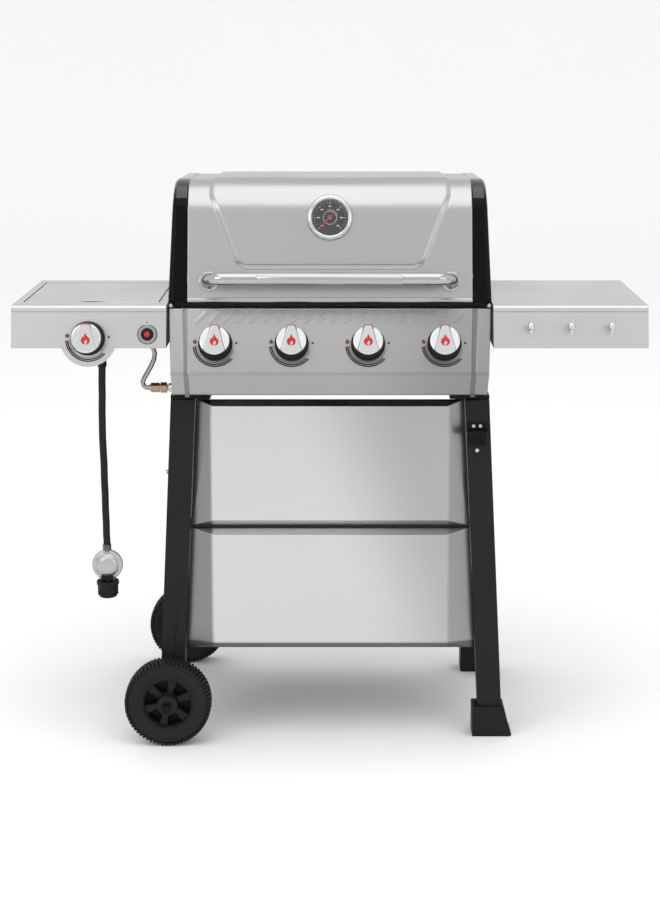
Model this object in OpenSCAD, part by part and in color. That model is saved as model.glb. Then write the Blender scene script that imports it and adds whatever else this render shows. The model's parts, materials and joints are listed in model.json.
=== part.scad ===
// Four burner gas grill on a splayed leg cart, with a side burner on its left shelf.
// X runs to the right, -Y is the front, Z is up. The origin is on the floor, under the middle.

/* [Cart] */
// Distance from the middle to a leg's centre line at the leg's top
leg_top_x = 305; // [300:1:310]
// Distance from the middle to a leg's centre line at floor level
leg_low_x = 341; // [336:1:342]
// Distance from the middle to a leg's centre line, front to back
leg_y = 200; // [196:1:200]
// Height of the top of the legs
leg_top_z = 729; // [727:1:729]
// Width of a leg, seen from the front
leg_w = 50; // [46:1:52]
// Depth of a leg, front to back
leg_d = 40; // [36:1:40]
// Wall of the leg and rail tubes
tube_wall = 2; // [1.5:0.5:2.5]
// Height of a foot
foot_h = 66; // [60:1:70]

/* [Wheels] */
// Outer radius of a wheel
wheel_r = 91; // [86:1:92]
// Width of a wheel
wheel_w = 48; // [44:1:50]
// Distance from the middle to a wheel's middle plane, front to back
wheel_y = 258; // [256:1:258]
// Radius of the axle
axle_r = 5; // [4:0.5:6]

/* [Front panels] */
// Half width of the raised flat of a front panel
panel_flat = 243; // [230:1:250]
// How far the raised flat stands in front of the panel's edge
panel_raise = 20; // [12:1:24]

/* [Firebox] */
// Half width of the firebox
box_x = 322; // [318:1:324]
// Front face of the firebox
box_front = -200; // [-204:1:-196]
// Rear face of the firebox
box_rear = 215; // [210:1:215]
// Top rim of the firebox
box_top = 929; // [925:1:929]
// Height of the burner tubes
burner_z = 820; // [816:1:824]

/* [Controls] */
// Height where a knob's axis meets the control panel
knob_z = 850; // [846:1:851]
// Radius of a knob
knob_r = 30.5; // [28:0.5:31]
// How far a knob goes in when it is pushed
knob_push = 4; // [3:0.5:4]
// Spacing of the main knobs
knob_pitch = 156; // [150:1:158]

/* [Lid] */
// Half width of the lid, over its end caps
lid_x = 333; // [330:1:336]
// Half width of the lid's steel skin
skin_x = 293; // [290:1:304]
// Bottom edge of the lid
lid_z = 933; // [932:1:936]
// Lean of the lid's front, in degrees
lid_lean = 12; // [8:1:14]
// Radius of the handle bar
bar_r = 13; // [11:0.5:13]
// Height of the thermometer's centre
gauge_z = 1103; // [1095:1:1108]

/* [Shelves] */
// Half width of the whole grill, over its shelves
shelf_out = 650; // [630:1:670]
// Top of the shelves
shelf_z = 930; // [928:1:932]
// Bottom edge of a shelf's front
shelf_low = 844; // [840:1:850]
// Rear edge of the shelves
shelf_rear = 140; // [125:1:145]

/* [Hidden] */

$fn = 48;
eps = 0.01;
steel = "#c9c8c4";
dark_steel = "#35363a";
black = "#1b1b1d";
chrome = "#e2e3e6";
brass = "#c9a75a";

// Legs: their centre lines spread towards the floor.
leg_lean = atan((leg_low_x - leg_top_x) / leg_top_z);
function leg_x(z) = leg_low_x - (leg_low_x - leg_top_x) * z / leg_top_z;
axle_z = wheel_r;
axle_x = leg_x(axle_z) + 4;
axle_end = 304;
hub_extra = 10;
axle_play = 0.05;
rail_w = 26;
rail_low_z = 186;
rail_high_z = 682;
front_rail_z = 442;
shelf_floor_z = rail_low_z + rail_w + 0.1;

// Front panels, as [bottom, top] heights.
panel_low = [191, 452];
panel_high = [458, 727];
panel_back = -205;

// Firebox: a box with a floor that slopes to a drip slot.
sheet = 2;
slope_top = 800;
slope_low = 748;
slot_x = 140;
slot_front = -60;
slot_rear = 100;
ledge_low = 846;
ledge_high = 893;
side_low = 738;
burner_x = [for (i = [0:3]) (i - 1.5) * knob_pitch];
neck_r = 10;
neck_hole_r = 12;

// Control panel: folded sheet, leaning back above its fold.
fold_y = -276;
fold_z = 792;
panel_top_y = -216;
panel_top_z = 921;
panel_bottom_y = -262;
panel_bottom_z = 746;
panel_top_x = 331;
panel_bottom_x = 322;
control_lean = atan((panel_top_y - fold_y) / (panel_top_z - fold_z));
knob_y = fold_y + (knob_z - fold_z) * tan(control_lean);

// Knobs, stems and valves, measured along a knob's axis from the panel's face.
bezel_r = 35;
bezel_h = 8;
knob_start = knob_push + 2;
knob_disc = 30;
knob_tip = 44;
stem_r = 4;
stem_in = -36;
stem_out = 32;
stem_play = 0.05;
knob_play = 0.03;
stem_hole_r = 6.5;
valve_from = -45;
valve_to = -14;
valve_half = 13;
manifold_y = -232;
manifold_z = 757;
manifold_r = 9;

// Shelves: folded pans with a leaning front.
shelf_in = 334;
face_lean = 10;
face_low_y = -262.5;
nose_r = 8;
nose_y = face_low_y + (shelf_z - nose_r - shelf_low) * tan(face_lean) + nose_r;
function face_y(z) = face_low_y + (z - shelf_low) * tan(face_lean);

// Side burner, in the left shelf.
well = [[-634, -197], [-352, 100]];
well_gap = 2.5;
side_x = -493;
side_knob_z = 864;
side_hinge = [90, 924];
side_pin_r = 3;
side_lid_drop = 10;
bowl_top = 912;
bowl_floor = 868;
plate_r = 58;
igniter_x = -372;
igniter_z = 872;
button_r = 12;
button_play = 0.1;

// Grease tray, which slides out to the rear.
tray = [[-150, -90, 718], [150, 212, 741]];
tray_lip = 6;

// Lid outline, in the YZ plane: a leaning front, a shoulder, a top and a round back.
lid_front_y = -222;
shoulder_r = 80;
shoulder_z = 1097;
back_r = 100;
lid_rear_y = 238;
lid_top_z = 1170;
lid_sheet = 1.5;
cap_sheet = 3;
function front_y(z) = lid_front_y + (z - lid_z) * tan(lid_lean);
shoulder_y = front_y(shoulder_z) + shoulder_r / cos(lid_lean);
function lid_outline(t) = concat(
    [[lid_front_y + t / cos(lid_lean), lid_z]],
    [for (a = [lid_lean:6:90]) [shoulder_y - (shoulder_r - t) * cos(a), shoulder_z + (shoulder_r - t) * sin(a)]],
    [for (a = [0:6:90]) [lid_rear_y - back_r + (back_r - t) * sin(a), lid_top_z - back_r + (back_r - t) * cos(a)]],
    [[lid_rear_y - t, lid_z]]
);
hinge_y = 226;
hinge_z = 942;
hinge_r = 4;
hinge_play = 0.05;

// Handle, in front of the lid.
bar_y = -286;
bar_z = 990;
bar_x = 260;
sleeve_x = 148;
post_x = 246;
post_len = 74.5;

// Thermometer, measured along its axis from the lid's skin.
gauge_r = 48;
dial_r = 38;
gauge_h = 16;
needle_h = 9;
needle_len = 30;
needle_pin_r = 2;
needle_rest = 135;

// Bottle opener on the right front leg, and tool hooks on the right shelf.
opener_z = 656;
hook_x = [408, 490, 572];
hook_z = 876;

// Gas parts: a hose that hangs from the inlet, with the regulator at its end.
inlet_x = -469;
inlet_y = -231;
inlet_z = 822;
hose_r = 7.5;
hose_sides = 10;
hose_route = [
    [-469, -231, 822], [-469, -231, 800], [-470, -231, 770], [-470, -231, 740], [-471, -231, 710],
    [-471, -231, 680], [-471, -231, 650], [-470, -231, 620], [-469, -231, 590], [-469, -231, 560],
    [-468, -231, 530], [-468, -231, 500], [-467, -231, 470], [-467, -231, 445], [-466, -231, 422]
];
reg_x = -466;
reg_y = -231;
reg_z = 380;
reg_r = 32;
tube_r = 5;
tube_route = [
    [-480, -229, 862], [-465, -229, 862], [-440, -229, 857], [-410, -229, 851], [-385, -229, 848],
    [-371, -230, 845], [-363, -231, 838], [-360, -232, 828], [-362, -232, 816], [-368, -232, 802],
    [-376, -232, 788], [-383, -232, 776], [-386, -232, 768], [-384, -232, 761], [-379, -232, 757],
    [-373, -232, 757]
];

// ---- helpers ----

module extrude_x(from, to) {
    translate([from, 0, 0]) rotate([90, 0, 90]) linear_extrude(to - from) children();
}

module extrude_y(from, to) {
    translate([0, to, 0]) rotate([90, 0, 0]) linear_extrude(to - from) children();
}

module block(a, b) {
    translate(a) cube(b - a);
}

module rod_x(from, to, y, z, r) {
    translate([from, y, z]) rotate([0, 90, 0]) cylinder(h = to - from, r = r);
}

module rod_y(from, to, x, z, r) {
    translate([x, to, z]) rotate([90, 0, 0]) cylinder(h = to - from, r = r);
}

// Puts the children on a face that leans back: their +Z points out of the face, their +Y up it.
module on_face(x, y, z, lean) {
    translate([x, y, z]) rotate([90 - lean, 0, 0]) children();
}

module on_control(i) {
    on_face(burner_x[i], knob_y, knob_z, control_lean) children();
}

module on_shelf_face(x, z) {
    on_face(x, face_y(z), z, face_lean) children();
}

module tube_block(a, b, along) {
    cut = [for (i = [0:2]) i == along ? -1 : tube_wall];
    difference() {
        block(a, b);
        block(a + cut, b - cut);
    }
}

// A tube of round section along a list of points, as one polyhedron.
function unit(v) = v / norm(v);
function heading(p, i) = unit(p[min(i + 1, len(p) - 1)] - p[max(i - 1, 0)]);
function ring(p, i, r, n) =
    let (t = heading(p, i), u = unit(cross([0, 1, 0.01], t)), v = cross(t, u))
    [for (k = [0:n - 1]) p[i] + r * (cos(360 * k / n) * u + sin(360 * k / n) * v)];
module swept_tube(p, r, n) {
    last = len(p) - 1;
    rings = [for (i = [0:last]) each ring(p, i, r, n)];
    walls = [for (i = [0:last - 1], k = [0:n - 1])
        [i * n + k, i * n + (k + 1) % n, (i + 1) * n + (k + 1) % n, (i + 1) * n + k]];
    caps = [[for (k = [n - 1:-1:0]) k], [for (k = [0:n - 1]) last * n + k]];
    polyhedron(rings, [for (f = concat(walls, caps)) [for (k = [len(f) - 1:-1:0]) f[k]]]);
}

// ---- cart ----

// The space inside or outside a leg tube; sx and sy are its corner of the cart.
module leg_bar(sx, sy, low, inset) {
    translate([sx * leg_x(leg_top_z), sy * leg_y, leg_top_z]) rotate([0, -sx * leg_lean, 0])
        translate([inset - leg_w / 2, inset - leg_d / 2, low - leg_top_z])
            cube([leg_w - 2 * inset, leg_d - 2 * inset, leg_top_z - low]);
}

module leg(sx, sy, low) {
    color(dark_steel) difference() {
        leg_bar(sx, sy, low, 0);
        leg_bar(sx, sy, low - 1, tube_wall);
        if (sx < 0) rod_y(sy * leg_y - leg_d, sy * leg_y + leg_d, -axle_x, axle_z, axle_r + 0.2);
    }
}

module foot(sy) {
    inner = leg_x(0) - leg_w / 2 - 15;
    color(black) difference() {
        extrude_y(sy * leg_y - leg_d / 2 - 7, sy * leg_y + leg_d / 2 + 7)
            polygon([
                [inner, 0], [inner + 82, 0], [inner + 84, 4], [inner + 80, 14],
                [inner + 67, foot_h], [inner, foot_h]
            ]);
        leg_bar(1, sy, 22, -0.3);
    }
}

module cart_rails() {
    side_y = leg_y - leg_d / 2 - 0.2;
    front_x = leg_x(front_rail_z + rail_w) - leg_w / 2 - 1;
    color(dark_steel) {
        for (sx = [-1, 1], z = [rail_low_z, rail_high_z])
            tube_block([sx * leg_x(z) - rail_w / 2, -side_y, z], [sx * leg_x(z) + rail_w / 2, side_y, z + rail_w], 1);
        for (z = [rail_low_z, rail_high_z]) {
            end = leg_x(z + rail_w) - leg_w / 2 - 1;
            tube_block([-end, leg_y - rail_w / 2, z - 1], [end, leg_y + rail_w / 2, z - 1 + rail_w], 0);
        }
        tube_block([-front_x, panel_back + 0.5, front_rail_z], [front_x, panel_back + 20, front_rail_z + rail_w], 0);
    }
}

module bottom_shelf() {
    wide = leg_x(shelf_floor_z) + rail_w / 2 - 2;
    narrow = leg_x(shelf_floor_z) - leg_w / 2 - 2;
    deep = leg_y + rail_w / 2;
    color(dark_steel) {
        block([-wide, -leg_y + leg_d / 2 + 1, shelf_floor_z], [wide, leg_y - leg_d / 2 - 1, shelf_floor_z + sheet]);
        block([-narrow, -leg_y, shelf_floor_z], [narrow, deep, shelf_floor_z + sheet]);
        for (y = [-leg_y, deep - sheet]) block([-narrow, y, shelf_floor_z], [narrow, y + sheet, shelf_floor_z + 14]);
    }
}

// Half of a pressed panel's outline at its edge and on its raised flat.
module panel_form(z, inset) {
    edge_low = leg_x(z[0]) - leg_w / 2 - 1.5 - inset;
    edge_high = leg_x(z[1]) - leg_w / 2 - 1.5 - inset;
    flat = panel_flat - inset;
    hull() {
        extrude_y(panel_back - 1, panel_back + inset)
            polygon([[-edge_low, z[0] + inset], [edge_low, z[0] + inset], [edge_high, z[1] - inset], [-edge_high, z[1] - inset]]);
        extrude_y(panel_back - panel_raise + inset, panel_back)
            polygon([[-flat, z[0] + 15 + inset], [flat, z[0] + 15 + inset], [flat, z[1] - 11 - inset], [-flat, z[1] - 11 - inset]]);
    }
}

module front_panel(z) {
    color(steel) difference() {
        panel_form(z, 0);
        panel_form(z, 1.5);
    }
}

module body_brackets() {
    outer = leg_top_x + leg_w / 2;
    low = leg_top_z + leg_w / 2 * sin(leg_lean) + 0.1;
    color(black) for (sx = [-1, 1], y = [-leg_y - leg_d / 2, leg_y - leg_d / 2])
        block([sx > 0 ? outer - 82 : -outer, y, low], [sx > 0 ? outer : 82 - outer, y + leg_d, side_low - 0.1]);
}

module axle() {
    color(chrome) {
        rod_y(-axle_end, axle_end, -axle_x, axle_z, axle_r);
        for (s = [-1, 1]) difference() {
            translate([-axle_x, s * (axle_end + 7), axle_z]) rotate([s * 90, 0, 0]) cylinder(h = 14, r = 9);
            rod_y(-axle_end, axle_end, -axle_x, axle_z, axle_r - eps);
        }
    }
}

module wheel(sy) {
    half = wheel_w / 2;
    hub = 21;
    rim = 51;
    color(black) translate([-axle_x, sy * wheel_y, axle_z]) rotate([90, 0, 0]) difference() {
        union() {
            difference() {
                cylinder(h = wheel_w, r = wheel_r, center = true, $fn = 96);
                for (s = [-1, 1]) translate([0, 0, s * half]) cylinder(h = 24, r = rim, center = true);
            }
            cylinder(h = wheel_w + 2 * hub_extra, r = hub, center = true);
        }
        cylinder(h = 2 * wheel_w, r = axle_r + axle_play, center = true);
        for (a = [0:60:300]) rotate(a + 48) linear_extrude(2 * wheel_w, center = true)
            polygon([[24, -6], [47, -17], [49, 0], [47, 17], [24, 6]]);
    }
}

// An opener plate with a hooked mouth, on two spacers in front of the leg.
module bottle_opener() {
    x = leg_x(opener_z) - 4;
    y = -leg_y - leg_d / 2;
    color(black) {
        extrude_y(y - 2, y - 0.1) polygon([[x - 17, opener_z - 24], [x + 17, opener_z - 24], [x + 21, opener_z + 26], [x - 21, opener_z + 26]]);
        difference() {
            extrude_y(y - 20, y - 2) polygon([[x - 21, opener_z - 4], [x + 21, opener_z - 4], [x + 21, opener_z + 10], [x - 21, opener_z + 10]]);
            extrude_y(y - 18, y - 1.9) polygon([[x - 15, opener_z - 5], [x + 15, opener_z - 5], [x + 15, opener_z + 4], [x - 15, opener_z + 4]]);
        }
    }
}

module screw_y(x, y, z, r, h) {
    color(chrome) translate([x, y, z]) rotate([90, 0, 0]) cylinder(h = h, r = r);
}

module cart_screws() {
    leg_face = -leg_y - leg_d / 2;
    for (sx = [-1, 1]) screw_y(sx * (panel_top_x - 4), panel_top_y, 926.5, 3.5, 6);
    for (x = [-11, 3]) screw_y(leg_x(opener_z) + x, leg_face - 2, opener_z + 18, 3.5, 3);
    screw_y(leg_x(opener_z) - 3, leg_face, opener_z - 34, 4, 3);
    color(chrome) rod_x(-leg_x(571) - leg_w / 2 - 6, -leg_x(571) - leg_w / 2 - 0.2, -leg_y, 571, 4);
}

// ---- firebox and what is in it ----

module firebox_section(t) {
    polygon([
        [box_front + t, box_top + (t > 0 ? 1 : 0)], [box_front + t, slope_top], [slot_front - 20, slope_low + t],
        [slot_rear + 20, slope_low + t], [box_rear - t, slope_top], [box_rear - t, box_top + (t > 0 ? 1 : 0)]
    ]);
}

module firebox() {
    inner = box_x - sheet;
    color(dark_steel) {
        difference() {
            extrude_x(-box_x, box_x) firebox_section(0);
            extrude_x(-inner, inner) firebox_section(sheet);
            block([-slot_x, slot_front, slope_low - 5], [slot_x, slot_rear, slope_low + 10]);
            for (x = burner_x) rod_y(box_front - 5, box_front + 5, x, burner_z, neck_hole_r);
        }
        for (s = [-1, 1]) {
            block([s > 0 ? inner : -box_x, box_front, side_low], [s > 0 ? box_x : -inner, box_rear, slope_top + 5]);
            block([s > 0 ? 158 : -160, slot_front - 12, 734], [s > 0 ? 160 : -158, slot_rear + 12, slope_low + 1]);
            block([s > 0 ? 151 : -160, slot_front - 12, 734], [s > 0 ? 160 : -151, slot_rear + 12, 736]);
        }
        for (z = [ledge_low, ledge_high], y = [box_front + 1, box_rear - 13])
            block([-inner - 1, y, z], [inner + 1, y + 12, z + sheet]);
    }
}

module burners() {
    color(steel) for (x = burner_x) difference() {
        union() {
            rod_y(-172, 196, x, burner_z, 18);
            rod_y(box_front - 4, -171, x, burner_z, neck_r);
        }
        rod_y(-170, 194, x, burner_z, 16.5);
        rod_y(box_front - 5, -169, x, burner_z, neck_r - 1.5);
        for (y = [-150:24:180]) block([x - 20, y, burner_z + 4], [x + 20, y + 2, burner_z + 8]);
    }
}

module flame_tamers() {
    apex = ledge_low + sheet + 24;
    foot_z = ledge_low + sheet + 0.1;
    color(steel) for (x = burner_x) extrude_y(box_front + 5, box_rear - 5)
        polygon([
            [x - 46, foot_z], [x - 44, foot_z], [x, apex], [x + 44, foot_z], [x + 46, foot_z], [x, apex + 2]
        ]);
}

module cooking_grates() {
    low = ledge_high + sheet + 0.1;
    half = box_x - sheet - 3;
    front = box_front + 5;
    rear = box_rear - 5;
    color(black) for (x0 = [-half, 3]) {
        for (i = [0:17]) block([x0 + i * (half - 11) / 17, front, low], [x0 + 8 + i * (half - 11) / 17, rear, low + 11]);
        for (y = [front, (front + rear) / 2 - 4, rear - 8]) block([x0, y, low], [x0 + half - 3, y + 8, low + 8]);
    }
}

module warming_rack() {
    z = 1040;
    wire = 4;
    end = 297;
    color(chrome) {
        for (x = [-288:24:288]) block([x - 1.5, 70, z], [x + 1.5, 196, z + 3]);
        for (y = [70, 131, 192]) block([-end, y, z - wire], [end, y + wire, z + 0.5]);
        for (x = [-end, end - wire], y = [70, 192]) block([x, y, ledge_high + sheet + 11.2], [x + wire, y + wire, z]);
    }
}

module grease_tray() {
    a = tray[0];
    b = tray[1];
    color(steel) {
        difference() {
            block(a, b);
            block(a + [1.5, 1.5, 1.5], b + [-1.5, -1.5, 1]);
        }
        for (s = [-1, 1]) block([s > 0 ? b[0] - 1 : a[0] - tray_lip, a[1], b[2] - 1.5], [s > 0 ? b[0] + tray_lip : a[0] + 1, b[1], b[2]]);
        block([-60, b[1] - 1, 724], [60, b[1] + 22, 726]);
        block([-60, b[1] + 20, 714], [60, b[1] + 22, 726]);
    }
}

// ---- controls ----

function control_points(t) = [
    [panel_bottom_y + t, panel_bottom_z], [fold_y + t, fold_z], [panel_top_y + t, panel_top_z - (t > 0 ? sheet : 0)]
];

module control_panel() {
    trapeze = [
        [-panel_bottom_x, panel_bottom_z - 1], [panel_bottom_x, panel_bottom_z - 1],
        [panel_top_x, panel_top_z + 1], [-panel_top_x, panel_top_z + 1]
    ];
    color(steel) difference() {
        intersection() {
            union() {
                extrude_x(-panel_top_x, panel_top_x) polygon(concat(
                    control_points(0), [[box_front - 0.3, panel_top_z], [box_front - 0.3, panel_top_z - sheet]],
                    [for (i = [2:-1:0]) control_points(sheet)[i]]
                ));
                for (s = [-1, 1]) extrude_x(s > 0 ? box_x - 6 : 4 - box_x, s > 0 ? box_x - 4 : 6 - box_x)
                    polygon(concat(control_points(0.5), [[box_front - 0.3, panel_top_z - 1], [box_front - 0.3, panel_bottom_z]]));
            }
            extrude_y(fold_y - 1, box_front) polygon(trapeze);
        }
        for (i = [0:3]) on_control(i) cylinder(h = 20, r = stem_hole_r, center = true);
        rod_x(-box_x - 20, 0, manifold_y, manifold_z, manifold_r + 1);
    }
}

module bezel_ring() {
    difference() {
        translate([0, 0, 0.1]) cylinder(h = bezel_h, r = bezel_r);
        translate([0, 0, 1.6]) cylinder(h = bezel_h, r = knob_r + 1);
        cylinder(h = bezel_h, r = stem_hole_r, center = true);
    }
}

module knob_bezels() {
    color(black) {
        for (i = [0:3]) on_control(i) bezel_ring();
        on_shelf_face(side_x, side_knob_z) bezel_ring();
    }
}

module stem() {
    color(chrome) translate([0, 0, stem_in]) cylinder(h = stem_out - stem_in, r = stem_r);
}

// A round disc with a wedge on its face, narrow and tall at the top and wide and low at its foot.
module knob() {
    low = knob_disc - 4;
    color(steel) difference() {
        union() {
            translate([0, 0, knob_start]) cylinder(h = knob_disc - knob_start - 2, r = knob_r);
            translate([0, 0, knob_disc - 2.01]) cylinder(h = 2, r1 = knob_r, r2 = knob_r - 2);
            intersection() {
                translate([0, 0, low]) linear_extrude(knob_tip - low)
                    polygon([[-10, knob_r], [10, knob_r], [27, -knob_r], [-27, -knob_r]]);
                cylinder(h = knob_tip, r = knob_r - 1.5);
                extrude_x(-knob_r, knob_r)
                    polygon([[-knob_r, low], [knob_r, low], [knob_r, knob_tip], [-knob_r, knob_disc + 5]]);
            }
        }
        cylinder(h = stem_out + 1, r = stem_r + knob_play);
    }
}

module valve_body() {
    difference() {
        translate([-valve_half, -valve_half, valve_from]) cube([2 * valve_half, 2 * valve_half, valve_to - valve_from]);
        translate([0, 0, stem_in - knob_push - 1]) cylinder(h = 60, r = stem_r + stem_play);
    }
}

module manifold() {
    color(chrome) difference() {
        rod_x(-box_x - 10, box_x - 12, manifold_y, manifold_z, manifold_r);
        rod_x(-box_x - 11, box_x - 20, manifold_y, manifold_z, manifold_r - 2);
    }
}

module valves() {
    color(brass) {
        for (i = [0:3]) {
            on_control(i) valve_body();
            block([burner_x[i] - 7, manifold_y, manifold_z + manifold_r - 0.8], [burner_x[i] + 7, manifold_y + 14, knob_z - 24]);
            rod_y(-216, box_front - 3, burner_x[i], burner_z, 4);
        }
        on_shelf_face(side_x, side_knob_z) valve_body();
    }
}

// ---- shelves and side burner ----

// A folded pan, open underneath, with a leaning front under a rounded nose.
module shelf_section(t) {
    top = shelf_z - t;
    polygon(concat(
        [[face_low_y + t, shelf_low - (t > 0 ? 1 : 0)], [face_y(shelf_z - nose_r) + t, shelf_z - nose_r]],
        [for (a = [0:15:90]) [nose_y - (nose_r - t) * cos(a), shelf_z - nose_r + (nose_r - t) * sin(a)]],
        [[shelf_rear - t, top], [shelf_rear - t, shelf_low - (t > 0 ? 1 : 0)]]
    ));
}

module shelf(s) {
    difference() {
        extrude_x(s > 0 ? shelf_in : -shelf_out, s > 0 ? shelf_out : -shelf_in) shelf_section(0);
        extrude_x(s > 0 ? shelf_in + sheet : sheet - shelf_out, s > 0 ? shelf_out - sheet : -shelf_in - sheet)
            shelf_section(sheet);
    }
    block([s > 0 ? box_x + 0.1 : -shelf_in - 1, box_front + 15, 862], [s > 0 ? shelf_in + 1 : -box_x - 0.1, shelf_rear - 15, 900]);
}

// The pins that the burner lid swings on, each held by a lug under the shelf's top.
module side_lid_pins() {
    y = side_hinge[0];
    z = side_hinge[1];
    for (left = [true, false]) {
        edge = left ? well[0][0] : well[1][0];
        block([left ? edge - 3 : edge + 0.3, y - 7, z - 7], [left ? edge - 0.3 : edge + 3, y + 7, shelf_z - 1]);
        rod_x(left ? edge - 1 : edge - 13, left ? edge + 13 : edge + 1, y, z, side_pin_r);
    }
}

module shelf_left() {
    color(steel) {
        difference() {
            shelf(-1);
            block([well[0][0], well[0][1], shelf_z - 5], [well[1][0], well[1][1], shelf_z + 1]);
            on_shelf_face(side_x, side_knob_z) cylinder(h = 20, r = stem_hole_r, center = true);
            on_shelf_face(igniter_x, igniter_z) cylinder(h = 20, r = button_r + 3, center = true);
        }
        side_lid_pins();
    }
}

module shelf_right() {
    color(steel) shelf(1);
}

// A part-round plate that hangs below the shelf's front, behind the side burner's knob.
module knob_plate() {
    edge = (shelf_low - side_knob_z) / cos(face_lean) + 10;
    color(steel) on_shelf_face(side_x, side_knob_z) translate([0, 0, -sheet - 3.1]) linear_extrude(2.8) difference() {
        circle(r = plate_r);
        translate([-plate_r - 1, edge]) square([2 * plate_r + 2, 2 * plate_r]);
    }
}

module side_burner_bowl() {
    a = [well[0][0] - 6, well[0][1] - 6];
    b = [well[1][0] + 6, well[1][1] + 6];
    color(dark_steel) {
        difference() {
            block([a[0] + 14, a[1] + 14, bowl_floor], [b[0] - 14, b[1] - 26, bowl_top]);
            block([a[0] + 16, a[1] + 16, bowl_floor + 2], [b[0] - 16, b[1] - 28, bowl_top + 1]);
        }
        difference() {
            block([a[0], a[1], bowl_top - 2], [b[0], b[1] - 22, bowl_top]);
            block([a[0] + 15, a[1] + 15, bowl_top - 3], [b[0] - 15, b[1] - 27, bowl_top + 1]);
        }
        for (y = [a[1] + 20, b[1] - 45], x = [a[0], b[0] - 4])
            block([x, y, bowl_top - 1], [x + 4, y + 16, shelf_z - sheet - 0.1]);
    }
}

module side_burner_head() {
    x = (well[0][0] + well[1][0]) / 2;
    y = -52;
    color(black) translate([x, y, bowl_floor + 2.1]) difference() {
        union() {
            cylinder(h = 16, r = 38);
            translate([0, 0, 15.9]) cylinder(h = 8, r = 44);
            translate([0, 0, 23.8]) cylinder(h = 4, r1 = 42, r2 = 36);
        }
        for (a = [0:20:340]) rotate(a) translate([34, -1, 11]) cube([12, 2, 6]);
    }
}

module trivet() {
    x = (well[0][0] + well[1][0]) / 2;
    y = -52;
    low = bowl_top + 0.1;
    color(black) {
        for (s = [-1, 1]) {
            block([x + s * 118 - 4, y - 118, low], [x + s * 118 + 4, y + 118, low + 8]);
            block([x - 121, y + s * 114 - 4, low], [x + 121, y + s * 114 + 4, low + 8]);
        }
        for (a = [0:90:270]) translate([x, y, low]) rotate(a) translate([26, -4, 0]) cube([90, 8, 8]);
        for (s = [-1, 1]) block([x + s * 130 - 16, y - 10, low], [x + s * 130 + 16, y + 10, low + 4]);
    }
}

module side_burner_lid() {
    a = [well[0][0] + well_gap, well[0][1] + well_gap];
    b = [well[1][0] - well_gap, well[1][1] - well_gap - 1];
    low = shelf_z - side_lid_drop;
    color(steel) difference() {
        union() {
            block([a[0], a[1], shelf_z - sheet], [b[0], b[1], shelf_z]);
            for (x = [a[0], b[0] - sheet]) block([x, a[1], low], [x + sheet, b[1] - 12, shelf_z - 1]);
            block([a[0], a[1], low], [b[0], a[1] + sheet, shelf_z - 1]);
            for (x = [a[0], b[0] - 12]) rod_x(x, x + 12, side_hinge[0], side_hinge[1], side_pin_r + 2.2);
        }
        translate([side_x, a[1], low - 1]) linear_extrude(side_lid_drop + 2) finger_notch();
        for (x = [a[0] - 1, b[0] - 13]) rod_x(x, x + 14, side_hinge[0], side_hinge[1], side_pin_r + hinge_play);
    }
}

// The finger notch in the burner lid's front edge.
module finger_notch() {
    intersection() {
        translate([0, -28]) circle(r = 42);
        translate([-40, -1]) square([80, 20]);
    }
}

module igniter_bezel() {
    color(black) on_shelf_face(igniter_x, igniter_z) difference() {
        union() {
            translate([0, 0, 0.1]) cylinder(h = 2.5, r = 19);
            translate([0, 0, -20]) cylinder(h = 21, r = button_r + 2.8);
        }
        translate([0, 0, -16]) cylinder(h = 30, r = button_r + button_play);
    }
}

module igniter_button() {
    color(black) on_shelf_face(igniter_x, igniter_z) translate([0, 0, -10]) cylinder(h = 18, r = button_r);
}

module tool_hooks() {
    color(chrome) for (x = hook_x) on_shelf_face(x, hook_z) {
        translate([0, 0, 0.1]) cylinder(h = 2, r = 7);
        cylinder(h = 18, r = 4);
        translate([0, 0, 18]) {
            sphere(r = 4);
            rotate([-60, 0, 0]) {
                cylinder(h = 14, r = 4);
                translate([0, 0, 14]) sphere(r = 8);
            }
        }
    }
}

// ---- gas ----

module gas_tube() {
    color(chrome) swept_tube(tube_route, tube_r, 12);
}

module gas_fittings() {
    end = tube_route[len(tube_route) - 1][0];
    color(brass) {
        rod_x(end, -box_x - 10.1, manifold_y, manifold_z, 6);
        rod_x(end + 4, end + 22, manifold_y, manifold_z, 10, $fn = 6);
        rod_x(end + 24, -box_x - 14, manifold_y, manifold_z, 11, $fn = 6);
    }
}

// The elbow on the side valve that the hose is pushed on.
module inlet_fitting() {
    color(brass) {
        translate([inlet_x, inlet_y, inlet_z]) cylinder(h = 14, r = 9, $fn = 6);
        translate([inlet_x, inlet_y, inlet_z + 13]) cylinder(h = 13, r = 6);
        rod_x(inlet_x - 14, inlet_x + 7, inlet_y, inlet_z + 26, 5);
    }
}

module hose() {
    color(black) swept_tube(hose_route, hose_r, hose_sides);
}

module regulator() {
    end = hose_route[len(hose_route) - 1];
    color(steel) {
        translate([reg_x, reg_y, reg_z + reg_r - 2]) cylinder(h = end[2] - reg_z - reg_r + 2, r = 8.5);
        rod_y(reg_y - 12, reg_y + 12, reg_x, reg_z, reg_r);
        rod_y(reg_y - 15, reg_y + 15, reg_x, reg_z, reg_r - 8);
        block([reg_x - 12, reg_y - 10, reg_z - reg_r - 1], [reg_x + 12, reg_y + 10, reg_z - reg_r + 6]);
        translate([reg_x, reg_y, reg_z - 66]) cylinder(h = 50, r = 7);
    }
}

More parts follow.
